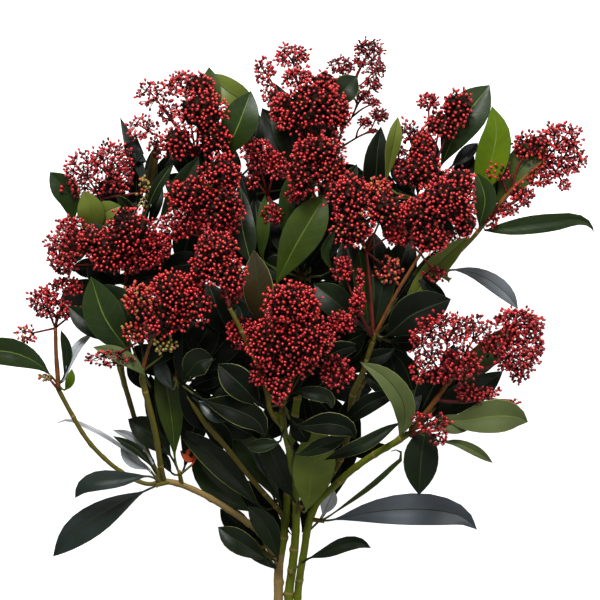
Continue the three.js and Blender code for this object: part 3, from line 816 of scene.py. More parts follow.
@dataclass(frozen=True)
class Leaf:
    """One leaf, from its whorl or from start to its tip. Width in mm, roll in degrees."""

    tip: Spot
    wide: float
    tone: Tone = Tone.DARK
    start: Optional[Spot] = None
    roll: float = 0.0
    rib: bool = False
    rim: bool = False
    via: tuple[Spot, ...] = ()
    peak: float = 1.22


@dataclass(frozen=True)
class Whorl:
    """A ring of leaves on a short twig, from at to to."""

    name: str
    at: Spot
    to: Spot
    leaves: tuple[Leaf, ...]


def painted_shade_leaves(*rows: tuple[float, ...]) -> tuple[Leaf, ...]:
    """Make near-black leaves for the depth of the bunch: painted shade where the bunch lies in shadow.

    Args:
        rows: Each leaf's tip and width, and after them its start if it has one of its own.

    Returns:
        The leaves, in the same order.
    """
    return tuple(Leaf(row[:3], row[3], Tone.BLACK, row[4:] or None) for row in rows)


WHORLS = (
    Whorl("leaves_centre", (281, 412, 102), (284, 401, 109), (
        Leaf((218, 364, 112), 26, Tone.BLACK, (264, 406, 107), rim=True, via=((240, 384, 115),)),
        Leaf((354, 439, 112), 20, Tone.BLACK, (294, 424, 108), rim=True, via=((333, 424, 117), (350, 430, 115))),
        Leaf((332, 409, 118), 13, Tone.DARK, (290, 393, 114), rim=True, via=((318, 394, 120), (330, 399, 119))),
        Leaf((347, 437, 104), 14, Tone.DARK, (294, 453, 96), rim=True, via=((322, 446, 104),)),
        *painted_shade_leaves((250, 350, 84, 26), (268, 294, 92, 30, 304, 346, 96), (325, 282, 90, 22, 310, 336, 94),
               (346, 388, 90, 22, 320, 350, 92), (283, 394, 92, 26, 303, 336, 92),
               (368, 337, 84, 15, 340, 316, 86), (330, 350, 80, 28), (308, 442, 94, 18, 290, 415, 100)),
        Leaf((246, 447, 96), 12, Tone.DARK, (281, 440, 99), rim=True, via=((264, 445, 100),)),
    )),
    Whorl("leaves_left_front", (142, 378, 104), (143, 368, 109), (
        Leaf((91, 277, 124), 33, Tone.DEEP, (134, 358, 107), rib=True, via=((105, 318, 121),)),
        Leaf((150, 374, 72), 18, Tone.BLACK, (163, 452, 62)),
        Leaf((99, 284, 104), 26, Tone.DARK, (143, 352, 100), via=((128, 312, 106),)),
        Leaf((93, 347, 116), 14, Tone.PALE, (145, 376, 110), roll=15,
             via=((134, 364, 117), (114, 353, 118)), peak=1.1),
        Leaf((68, 306, 92), 19, Tone.DARK, (113, 344, 94)),
        *painted_shade_leaves((178, 330, 92, 24), (172, 284, 98, 28, 182, 336, 98), (170, 273, 90, 15, 112, 283, 86),
               (127, 364, 74, 15, 152, 392, 76)),
    )),
    Whorl("leaves_left_tall", (125, 292, 84), (126, 282, 88), (
        Leaf((92, 222, 76), 26, Tone.DARK),
        Leaf((170, 232, 82), 26, Tone.BLACK),
        Leaf((60, 300, 58), 25, Tone.DARK),
        *painted_shade_leaves((160, 340, 68, 25), (184, 286, 60, 24)),
        Leaf((120, 117, 58), 15, Tone.DUSK, (147, 200, 62), via=((130, 141, 64), (140, 168, 64))),
        Leaf((152, 150, 52), 12, Tone.BLACK, (150, 204, 60)),
        Leaf((158, 138, 70), 9, Tone.BRONZE, (149, 186, 68), roll=35),
        Leaf((173, 163, 80), 10, Tone.DARK, (146, 213, 74), rib=True, via=((157, 187, 79),)),
        *painted_shade_leaves((174, 150, 48, 14, 152, 192, 50), (137, 160, 46, 14, 136, 208, 50)),
        Leaf((199, 157, 84), 18, Tone.DARK, (158, 222, 78), via=((182, 186, 84),)),
        *painted_shade_leaves((206, 262, 66, 24, 150, 270, 74), (88, 262, 72, 26), (72, 268, 60, 17, 112, 268, 62),
               (146, 230, 72, 26), (163, 188, 56, 9, 150, 224, 58), (180, 312, 66, 20, 146, 300, 68)),
    )),
    Whorl("leaves_far_left", (58, 390, 80), (57, 382, 82), (
        Leaf((-30, 352, 80), 24, Tone.DEEP, (52, 377, 82), rib=True, via=((37, 363, 84), (10, 352, 86))),
        Leaf((61, 330, 88), 9, Tone.DARK, (63, 379, 84), via=((67, 352, 88),)),
        Leaf((93, 333, 84), 8, Tone.SILVER, (64, 380, 84), roll=-20, via=((70, 362, 87), (78, 346, 87))),
        Leaf((72, 369, 90), 8, Tone.BRIGHT, (64, 390, 84), via=((70, 381, 90),)),
    )),
    Whorl("leaves_inner_left", (180, 387, 94), (175, 378, 98), (
        Leaf((213, 358, 106), 24, Tone.DARK, (184, 378, 100), rim=True, via=((198, 362, 107),)),
        Leaf((157, 354, 96), 13, Tone.DUSK, (174, 390, 96), via=((163, 374, 99),)),
        *painted_shade_leaves((183, 336, 102, 15, 181, 384, 99), (186, 316, 72, 22, 196, 356, 78),
               (184, 340, 62, 22, 180, 392, 66)),
        Leaf((266, 436, 104), 24, Tone.BLACK, (200, 398, 98), rim=True, via=((234, 409, 108), (257, 421, 107))),
        Leaf((230, 421, 94), 17, Tone.DUSK, (196, 400, 92)),
        *painted_shade_leaves((214, 318, 84, 28), (150, 310, 70, 24), (240, 322, 80, 30, 196, 376, 86),
               (250, 378, 76, 28, 196, 388, 86), (208, 282, 88, 26, 230, 344, 86),
               (252, 350, 80, 22, 206, 378, 84), (226, 374, 84, 16, 184, 388, 90),
               (272, 412, 62, 13, 250, 384, 62), (262, 404, 62, 24, 206, 397, 66),
               (254, 436, 56, 22, 206, 412, 60), (232, 450, 62, 18, 198, 408, 80), (206, 430, 70, 22),
               (134, 346, 80, 24), (216, 298, 62, 24, 180, 290, 64), (254, 346, 66, 20, 236, 304, 68)),
    )),
    Whorl("leaves_right_centre", (373, 341, 104), (375, 333, 107), (
        Leaf((451, 299, 108), 34, Tone.BLACK, (384, 337, 106), via=((412, 315, 115),), peak=1.1),
        Leaf((434, 251, 92), 15, Tone.GREEN, (396, 316, 88), rib=True, via=((417, 284, 94),)),
        Leaf((348, 314, 64), 24, Tone.BLACK, (296, 316, 66)),
        Leaf((470, 236, 98), 19, Tone.OLIVE, (398, 314, 92), rim=True, via=((420, 286, 96), (447, 256, 99))),
        Leaf((359, 248, 106), 18, Tone.DEEP, rib=True),
        Leaf((389, 246, 98), 22, Tone.DARK),
        Leaf((305, 372, 88), 20, Tone.BLACK, (366, 344, 98), rim=True, via=((338, 351, 100),)),
        Leaf((314, 284, 106), 26, Tone.DARK, (360, 326, 104), via=((338, 304, 110),)),
        *painted_shade_leaves((344, 238, 88, 28, 366, 316, 96), (374, 232, 84, 28, 374, 312, 92),
               (410, 236, 84, 28, 384, 316, 92), (422, 342, 90, 16, 384, 343, 98),
               (342, 368, 84, 16, 370, 350, 96), (350, 374, 78, 24, 402, 316, 84)),
        Leaf((414, 394, 84), 20, Tone.BLACK, (386, 346, 96), via=((403, 364, 92),)),
        Leaf((358, 361, 98), 14, Tone.BLACK, (396, 347, 100), via=((378, 357, 102),)),
        *painted_shade_leaves((386, 394, 90, 11, 364, 372, 92), (447, 299, 98, 11, 416, 277, 96), (332, 290, 78, 26),
               (336, 346, 84, 30), (414, 258, 84, 24, 386, 322, 92), (400, 372, 76, 26), (397, 268, 82, 26),
               (412, 300, 78, 27), (352, 268, 82, 25), (370, 376, 80, 24)),
    )),
    Whorl("leaves_right", (408, 434, 97), (414, 429, 100), (
        Leaf((360, 362, 114), 20, Tone.PALE, (400, 437, 102), rim=True,
             via=((405, 420, 108), (402, 399, 114), (384, 376, 116)), peak=0.86),
        Leaf((419, 495, 92), 30, Tone.DARK, (424, 424, 97), via=((421, 459, 98),), peak=0.96),
        Leaf((476, 424, 100), 17, Tone.PALE, (428, 424, 98), peak=1.1),
        Leaf((528, 422, 104), 29, Tone.PALE, (438, 421, 100), rim=True, rib=True,
             via=((466, 420.5, 106), (495, 416, 110), (515, 417, 109)), peak=1.42),
        Leaf((454, 344, 84), 18, Tone.BLACK, (444, 396, 88)),
        Leaf((480, 384, 86), 22, Tone.DARK, (432, 422, 90), via=((456, 400, 91),)),
        Leaf((493, 463, 90), 9, Tone.PALE, (438, 441, 95), via=((457, 443, 97), (476, 451, 96))),
        Leaf((503, 371, 86), 21, Tone.DARK, (438, 420, 88), via=((470, 396, 91),)),
        Leaf((514, 326, 84), 23, Tone.DEEP, (452, 392, 84), via=((488, 353, 87),)),
        *painted_shade_leaves((442, 366, 78, 27, 416, 422, 88), (462, 372, 80, 24, 424, 422, 86), (406, 378, 76, 24)),
        Leaf((324, 460, 92), 12.5, Tone.DARK, (403, 423, 97), rim=True, via=((364, 444, 98),), peak=1.0),
        Leaf((342, 424, 90), 16, Tone.BLACK, (404, 395, 94), via=((374, 401, 96),), peak=1.1),
        Leaf((350, 454, 56), 14, Tone.BLACK, (394, 446, 70), via=((374, 449, 66),)),
    )),
    Whorl("leaves_far_right", (488, 219, 85), (494, 212, 87), (
        Leaf((594, 232, 84), 16, Tone.DEEP, (482, 229, 83),
             via=((504, 228.5, 86), (530, 225, 90), (556, 222, 91), (577, 219.5, 89), (589, 224, 86)), peak=0.9),
        Leaf((492, 106, 96), 29, Tone.BRIGHT, (481, 197, 90), rib=True,
             via=((491.5, 160, 96), (496.5, 132, 98)), peak=0.92),
        Leaf((477, 173, 100), 20, Tone.DEEP, (480, 228, 90), rib=True, via=((485, 199, 98),)),
        Leaf((546, 134, 82), 30, Tone.GREEN, (494, 206, 84)),
        Leaf((516, 156, 74), 20, Tone.DEEP, (488, 212, 82)),
    )),
    Whorl("leaves_far_right_side", (440, 273, 76), (450, 280, 73), (
        Leaf((518, 309, 78), 15, Tone.STEEL, (448, 271, 77),
             via=((469, 271.5, 81), (490, 280.5, 83), (507, 294, 82)), peak=1.35),
    )),
    Whorl("leaves_back_right", (418, 205, 56), (422, 196, 58), (
        Leaf((489.5, 85, 62), 34, Tone.DEEP, (438, 171, 60), rib=True, via=((460.5, 124, 70),), peak=1.45),
        Leaf((478, 143, 52), 12, Tone.DUSK, (450, 168, 56)),
        Leaf((474, 156, 46), 18, Tone.BLACK, (446, 196, 52)),
        Leaf((381, 126.5, 66), 23, Tone.BLACK, (380, 206, 56), via=((377, 160, 68),), peak=0.95),
        Leaf((398, 117, 80), 14, Tone.OLIVE, (388, 188, 66), roll=22, rim=True,
             via=((390, 160, 74), (395, 134, 80)), peak=1.7),
        Leaf((357, 164, 58), 12, Tone.DARK, (344, 192, 54), rim=True),
        *painted_shade_leaves((372, 168, 52, 16, 402, 206, 54), (391, 186, 50, 16, 416, 199, 52), (404, 250, 40, 26),
               (452, 176, 40, 26), (396, 158, 40, 22), (384, 236, 42, 26), (446, 248, 42, 26),
               (428, 132, 42, 27), (470, 212, 42, 24)),
    )),
    Whorl("leaves_back_middle", (308, 278, 59), (300, 278, 70), (
        Leaf((326, 194, 92), 34, Tone.GREEN, (276, 290, 76), rib=True, via=((290, 256, 88), (308, 224, 94)), peak=1.5),
        Leaf((293, 170, 84), 15, Tone.DEEP, (284, 238, 72), via=((287, 205, 82),)),
        Leaf((265, 195, 80), 12, Tone.GREEN, (265, 263, 70), via=((263, 230, 79),)),
        Leaf((254, 250, 100), 26, Tone.BRONZE, (264, 322, 88), rim=True, via=((258, 286, 101),), peak=1.0),
        Leaf((335, 230, 90), 9, Tone.DEEP, (330, 272, 82), roll=30, via=((325, 252, 90),)),
        *painted_shade_leaves((262, 262, 66, 22), (350, 262, 56, 26), (270, 200, 54, 26), (240, 300, 56, 26),
               (304, 214, 50, 28), (338, 222, 50, 27), (266, 232, 50, 26), (352, 304, 52, 26),
               (216, 304, 54, 30, 262, 286, 56), (338, 248, 46, 26, 270, 304, 46),
               (346, 206, 60, 18, 316, 226, 62), (236, 264, 60, 22, 262, 240, 62)),
    )),
    Whorl("leaves_back_top", (310, 192, 56), (311, 181, 57), (
        Leaf((276, 84, 46), 28, Tone.DARK),
        Leaf((357, 76, 56), 23, Tone.DARK, (330, 108, 56), rim=True, via=((344, 90, 61),), peak=1.4),
        Leaf((386, 200, 40), 26, Tone.DARK),
        Leaf((240, 190, 36), 26, Tone.BLACK),
        Leaf((324, 80, 30), 26, Tone.DARK),
        *painted_shade_leaves((262, 108, 40, 26), (262, 150, 40, 26), (366, 174, 36, 24), (292, 232, 40, 28),
               (342, 208, 36, 26), (246, 164, 36, 26), (240, 178, 48, 20, 206, 200, 48),
               (298, 206, 62, 14, 314, 172, 60)),
    )),
    Whorl("leaves_back_left", (208, 205, 54), (206, 195, 57), (
        Leaf((251, 91, 80), 31, Tone.DEEP, (222, 160, 70), rib=True, via=((238, 126, 83),)),
        Leaf((209, 67, 60), 17, Tone.GREEN, (214, 130, 56), peak=1.5),
        Leaf((256, 110, 54), 23, Tone.OLIVE, (208, 81, 54), via=((232, 94, 60),)),
        Leaf((251, 264, 92), 22, Tone.DARK, (238, 184, 74), rib=True, via=((242, 226, 90),), peak=1.3),
        *painted_shade_leaves((255, 196, 62, 22, 262, 278, 60), (259, 114, 46, 16, 250, 168, 46), (164, 176, 60, 22),
               (180, 266, 50, 26), (228, 268, 46, 26), (172, 130, 44, 24), (236, 150, 44, 24),
               (238, 212, 42, 28, 178, 208, 44), (206, 140, 46, 18, 198, 184, 46),
               (254, 212, 60, 16, 238, 172, 60)),
    )),
    Whorl("leaves_left_back", (100, 232, 48), (100, 222, 51), (
        Leaf((50, 172, 60), 22, Tone.DEEP, (77, 226, 54), via=((68, 195, 60),), peak=1.5),
        Leaf((84, 191, 84), 24, Tone.OLIVE, (96, 240, 60), rib=True, via=((91, 212, 80),), peak=1.5),
        Leaf((121, 206, 78), 20, Tone.OLIVE, (92, 230, 60), via=((106, 211, 78),)),
        Leaf((116, 172, 44), 24, Tone.BLACK, (104, 226, 48)),
        Leaf((117, 196, 70), 9, Tone.DARK, (133, 212, 60), rim=True),
        Leaf((142, 190, 46), 14, Tone.DARK),
        Leaf((60, 262, 40), 24, Tone.DARK),
        Leaf((134, 262, 44), 26, Tone.BLACK),
    )),
    Whorl("leaves_low_left", (168, 483, 56), (156, 486, 66), (
        Leaf((53, 556.5, 40), 26.5, Tone.DUSK, (149, 489, 60),
             via=((123, 502, 58), (100, 516, 54), (75, 533.5, 48)), peak=1.22),
        Leaf((75, 498, 66), 17, Tone.DUSK, (152, 477, 68),
             via=((120, 479, 72), (97, 481, 72), (83, 487, 70)), peak=1.3),
        Leaf((57, 423, 40), 4.5, Tone.SILVER, (148, 468, 58), roll=30,
             via=((113, 441, 56), (90, 428, 52), (68, 420, 46))),
        Leaf((113, 430, 62), 7, Tone.SILVER, (149, 456, 60), via=((132, 437, 65),)),
        Leaf((121, 443, 54), 12, Tone.SILVER, (150, 471, 58), via=((132.5, 460.5, 57),)),
        Leaf((113, 436, 66), 8, Tone.DARK, (154, 470, 62), rib=True, via=((137, 450, 66),)),
    )),
    Whorl("leaves_low_upright", (181, 486, 51), (178.5, 472, 60), (
        Leaf((159, 356, 80), 23, Tone.GREEN, (175.5, 462, 60), rib=True,
             via=((173, 430, 72), (168, 395, 81)), peak=1.35),
        Leaf((128, 419, 64), 24, Tone.DARK, (172, 458, 60), via=((150, 433, 68),)),
        Leaf((157, 448, 58), 9, Tone.BLACK, (173, 474, 56)),
        Leaf((180, 451, 56), 12, Tone.RUST, (196, 459, 54), peak=0.8),
        Leaf((206, 380, 52), 24, Tone.BLACK),
    )),
    Whorl("leaves_low_foot", (268, 548, 22), (256, 552, 28), (
        Leaf((218, 527, 28), 21, Tone.DARK, (271, 562, 24), rim=True, via=((252, 550, 31), (234, 539, 33)), peak=1.4),
        Leaf((220, 509, 16), 20, Tone.DARK, (256, 540, 20), via=((238, 524, 20),)),
        Leaf((248, 506, 46), 20, Tone.DARK, (277, 562, 30), via=((268, 530, 42),), peak=1.4),
        *painted_shade_leaves((264, 498, 20, 18, 280, 558, 20), (232, 518, 12, 20, 268, 556, 16)),
        Leaf((236, 534, 20), 15, Tone.DARK, (279, 571, 18)),
    )),
    Whorl("leaves_low_centre", (286, 510, 26), (272, 510, 18), (
        Leaf((177, 429, 60), 22, Tone.DARK, (262, 508, 40), rim=True, via=((240, 484, 52), (208, 452, 60))),
        Leaf((193, 452, 36), 24, Tone.DEEP, (254, 512, 28), via=((224, 492, 36), (203, 470, 38))),
        Leaf((218, 420, 46), 24, Tone.DEEP, (281, 505, 36), via=((262, 470, 46), (240, 440, 50))),
        Leaf((254, 448, 56), 12, Tone.DUSK, (276, 484, 50)),
        *painted_shade_leaves((236, 400, 30, 24), (238, 478, 24, 20, 278, 526, 22), (282, 462, 24, 18, 294, 540, 20)),
    )),
    Whorl("leaves_low_middle", (296, 515, 39), (302, 508, 53), (
        Leaf((322, 425, 74), 37, Tone.OLIVE, (305, 512, 56), rib=True, via=((313, 470, 73),)),
        Leaf((262, 430, 66), 22, Tone.DARK, (294, 500, 56), via=((276, 464, 66),)),
        Leaf((296, 440, 60), 20, Tone.BLACK, roll=30),
    )),
    Whorl("leaves_low_right", (310, 521, 35), (324, 523, 40), (
        Leaf((477, 529.5, 44), 27.5, Tone.SLATE, (328, 520.5, 42),
             via=((366, 513, 54), (400, 509.5, 58), (434, 510, 57), (462, 516.5, 51)), peak=1.22),
        Leaf((391, 451, 64), 6, Tone.GREEN, (326, 518, 44), roll=35,
             via=((348, 503, 54), (372, 485, 58), (392, 467, 59), (402, 457, 60), (399, 450, 62))),
        Leaf((334, 490, 40), 14, Tone.SILVER, (322, 516, 40)),
        Leaf((318, 462, 24), 18, Tone.BLACK, (303, 534, 22)),
        Leaf((352, 392, 40), 26, Tone.BLACK, (330, 505, 34), via=((343, 455, 42),)),
    )),
    Whorl("leaves_foot_front", (291, 578, 16), (291, 574, 30), (
        Leaf((371, 548, 30), 13, Tone.DARK, (306, 560, 28), via=((327, 552, 34), (346, 544, 36), (360, 543, 34))),
    )),
    # A layer of near-black painted-shade leaves beneath the centre head.
    Whorl("leaves_under_centre", (300, 384, 49), (302, 380, 34), (
        *painted_shade_leaves((250, 300, 22, 28), (352, 300, 20, 28), (230, 380, 14, 26), (372, 390, 14, 26),
               (310, 450, 14, 24), (262, 440, 20, 26), (345, 430, 22, 26)),
    )),
)


@dataclass
class Foliage:
    """The leaves, each a thin closed blade on a short stalk."""

    columns: tuple[float, ...] = (-1.0, -0.962, -0.66, -0.34, -0.034, 0.034, 0.34, 0.66, 0.962, 1.0)
    stalk_rows: int = 3
    blade_rows: int = 15
    stalk_part: float = 0.03
    stalk_width: float = 1.2
    foot_part: float = 0.7
    standoff: float = 6.0
    thickness: float = 0.75
    fold: float = 0.24
    arch: float = 0.1
    fold_ease: float = 0.38
    groove: float = 0.28
    tip_thinning: float = 0.45
    stalk_most: float = 0.6
    table_gap: float = 0.5 * MM
    seed: int = SEED + 7
    rng: random.Random = field(init=False)

    def __post_init__(self) -> None:
        """Prepare the grid that every leaf is cut from."""
        self.rng = random.Random(self.seed)
        rows, wide = self.stalk_rows + self.blade_rows, len(self.columns)
        top = np.arange(rows * wide).reshape(rows, wide)
        low = top + rows * wide
        quads, parts = [], []
        for r in range(rows - 1):
            for c in range(wide - 1):
                middle = c == (wide - 2) // 2
                part = "rib" if middle else "rim" if c in (0, wide - 2) else "blade"
                part = "stalk" if r < self.stalk_rows - 1 else part
                quads.append((top[r, c], top[r, c + 1], top[r + 1, c + 1], top[r + 1, c]))
                parts.append(part)
                quads.append((low[r, c], low[r + 1, c], low[r + 1, c + 1], low[r, c + 1]))
                parts.append({"rib": "back_rib", "rim": "back", "blade": "back"}.get(part, part))
            last = wide - 1
            edge = "stalk" if r < self.stalk_rows - 1 else "rim"
            quads.append((top[r, 0], top[r + 1, 0], low[r + 1, 0], low[r, 0]))
            quads.append((top[r + 1, last], top[r, last], low[r, last], low[r + 1, last]))
            parts.extend([edge, edge])
        for c in range(wide - 1):
            quads.append((top[0, c + 1], top[0, c], low[0, c], low[0, c + 1]))
            quads.append((top[-1, c], top[-1, c + 1], low[-1, c + 1], low[-1, c]))
            parts.extend(["stalk", "rim"])
        self.corners = np.array(quads).ravel()
        self.sizes = np.full(len(quads), 4)
        self.parts = parts

    def half_width(self, along: float, leaf: Leaf) -> float:
        """Give half the width of a blade in mm at a part of its length."""
        swell = max(0.0, math.sin(math.pi * along ** leaf.peak))
        fullness = 0.95 - 0.2 * math.sin(math.pi * along)
        return max(0.25, leaf.wide / 2 * swell ** fullness)

    def start_of(self, foot: Vector, axis: Vector, tip: Vector) -> Vector:
        """Find where a leaf leaves its twig when no place is given.

        Args:
            foot: The point on the twig.
            axis: The twig's direction.
            tip: The leaf's tip.

        Returns:
            The start of the blade's line.
        """
        way = tip - foot
        way = way - axis * way.dot(axis)
        if way.length < self.standoff * MM:
            way.z += self.standoff * MM
        return foot + way.normalized() * self.standoff * MM

    def path(self, foot: Vector, start: Vector, tip: Vector, leaf: Leaf) -> Route:
        """Lay the bowed line of one leaf.

        Args:
            foot: The point on the twig.
            start: Where the leaf leaves it.
            tip: The tip.
            leaf: The leaf.

        Returns:
            The curve.
        """
        if leaf.via:
            return Route([foot, start, *(seen(spot) for spot in leaf.via), tip])
        span = tip - start
        middle = start.lerp(tip, 0.5) + UP * span.length * self.arch
        return Route([foot, start, middle, tip])

    def looks(self, leaf: Leaf) -> np.ndarray:
        """Give the material slot of each face of a leaf."""
        slots = {
            "blade": leaf.tone.value, "back": BACK_SLOT, "back_rib": LIGHT_RIB,
            "rib": LIGHT_RIB if leaf.rib else DIM_RIB, "stalk": STALK_SLOT,
            "rim": CREAM_AND_LIT_RIM if leaf.rim else GREEN_RIM,
        }
        return np.array([slots[part] for part in self.parts])

    def add(self, joined: JoinedMesh, whorl: Whorl, leaf: Leaf) -> None:
        """Add one leaf of a whorl.

        Args:
            joined: The mesh that it joins.
            whorl: Its whorl.
            leaf: The leaf.
        """
        twig, end = place(whorl.at), place(whorl.to)
        axis = (end - twig).normalized()
        foot, tip = twig.lerp(end, self.foot_part), seen(leaf.tip)
        start = seen(leaf.start) if leaf.start else self.start_of(foot, axis, tip)
        path = self.path(foot, start, tip, leaf)
        length = (tip - start).length
        stalk = min(self.stalk_most, ((start - foot).length + length * self.stalk_part) / path.length)
        blade = [0.5 - 0.5 * math.cos(math.pi * (0.04 + 0.96 * i / (self.blade_rows - 1)))
                 for i in range(self.blade_rows)]
        blade = [(value - blade[0]) / (blade[-1] - blade[0]) for value in blade]
        parts = [stalk * i / self.stalk_rows for i in range(self.stalk_rows)]
        parts += [stalk + (1 - stalk) * value for value in blade]
        centres, ways = path.at(parts), path.directions(parts)
        wave_turn, wave_size = self.rng.uniform(0, 6.28), self.rng.uniform(0.02, 0.05)
        x = np.array(self.columns)
        top, low, charts = [], [], []
        for row, (centre, way) in enumerate(zip(centres, ways)):
            on_blade = row >= self.stalk_rows
            b = blade[row - self.stalk_rows] if on_blade else 0.0
            across = np.cross(way, (0.0, 0.0, 1.0))
            across = across / max(1e-9, np.linalg.norm(across))
            turn = math.radians(leaf.roll)
            face = np.cross(across, way)
            across, face = (across * math.cos(turn) - face * math.sin(turn),
                            face * math.cos(turn) + across * math.sin(turn))
            half = self.half_width(b, leaf) if on_blade else self.stalk_width * 0.8
            half = max(half, self.stalk_width * 0.8 * max(0.0, 1 - b * 3))
            share = min(1.0, b * 6)
            raised = self.fold * np.abs(x) * (1 - self.fold_ease * np.abs(x)) * half
            raised = raised + wave_size * half * np.abs(x) ** 2 * math.sin(wave_turn + b * 9)
            rounded = np.sqrt(np.clip(1 - x * x, 0.03, 1))
            thick = self.thickness * (1 - self.tip_thinning * b) * (0.6 + 0.4 * (1 - np.abs(x)))
            groove = np.where(np.abs(x) < 0.1, self.groove, 0.0)
            above = raised * share - groove * share + (1 - share) * rounded * self.stalk_width * 0.75
            below = (raised - thick - 2 * groove) * share - (1 - share) * rounded * self.stalk_width * 0.75
            base = centre[None, :] + across[None, :] * (x * half * MM)[:, None]
            top.append(base + face[None, :] * (above * MM)[:, None])
            low.append(base + face[None, :] * (below * MM)[:, None])
            charts.append(np.stack([(x + 1) / 2, np.full(len(x), b)], axis=1))
        places = np.concatenate(top + low)
        places[:, 2] = np.maximum(places[:, 2], self.table_gap)
        chart = np.concatenate(charts + charts)[self.corners]
        joined.add(places, self.corners, self.sizes, self.looks(leaf), chart)

    def build(self, name: str, whorls: Sequence[Whorl], materials: Sequence[bpy.types.Material]) -> bpy.types.Object:
        """Make one piece of leaves.

        Args:
            name: The piece's name.
            whorls: The whorls in it.
            materials: The leaf finishes by slot.

        Returns:
            The object.
        """
        joined = JoinedMesh()
        for whorl in whorls:
            for leaf in whorl.leaves:
                self.add(joined, whorl, leaf)
        return joined.build(name, materials)


# ------------------------------------------------------------------ flower heads


class Weave(Enum):
    """How a part of a head is packed: bud spacing in mm, inner layers, loose share, side share."""

    FULL = (4.88, 2, 0.22, 0.42)
    LOOSE = (4.85, 1, 0.3, 0.7)
    OPEN = (5.0, 0, 0.28, 0.7)
    CLOSE = (4.45, 1, 0.3, 0.8)
    THIN = (5.5, 1, 0.34, 0.7)
    FINE = (3.3, 0, 0.5, 0.8)


class Tint(Enum):
    """The shares of bright, red, deep, shaded, orange, straw and brown buds."""

    RED = (0.56, 0.34, 0.08, 0.01, 0.008, 0.0, 0.0)
    # Painted shade: a darker bud mix for the thin lobes that stand out against the bright table.
    SOFT = (0.24, 0.5, 0.23, 0.02, 0.006, 0.0, 0.0)
    # Painted light: mostly the brightest buds, for the main lobes of heads that the lamps light less than the others.
    VIVID = (0.84, 0.13, 0.02, 0.0, 0.008, 0.0, 0.0)
    MIXED = (0.42, 0.3, 0.08, 0.0, 0.18, 0.02, 0.0)
    WARM = (0.3, 0.22, 0.1, 0.0, 0.35, 0.03, 0.0)
    AMBER = (0.14, 0.2, 0.06, 0.0, 0.54, 0.06, 0.0)
    DEEP = (0.1, 0.42, 0.42, 0.04, 0.02, 0.0, 0.0)
    STRAW = (0.0, 0.0, 0.0, 0.0, 0.15, 0.85, 0.0)
    BROWN = (0.03, 0.2, 0.12, 0.03, 0.0, 0.0, 0.62)


STALK_MAROON, STALK_RED, STALK_ORANGE = range(3)
BUD_DEEP, BUD_SHADE, BUD_BROWN = 2, 3, 6


@dataclass(frozen=True)
class Lobe:
    """One part of a head: its middle, its three half sizes in mm, and its branch if that bends."""

    spot: Spot
    reach: tuple[float, float, float]
    weave: Weave = Weave.FULL
    tint: Tint = Tint.RED
    branch: tuple[Spot, ...] = ()


@dataclass(frozen=True)
class Head:
    """A flower head: the stalk from its carrier to its fork, and its lobes."""

    name: str
    stalk: tuple[Spot, ...]
    lobes: tuple[Lobe, ...]
    radius: float = 1.7
    orange: bool = False


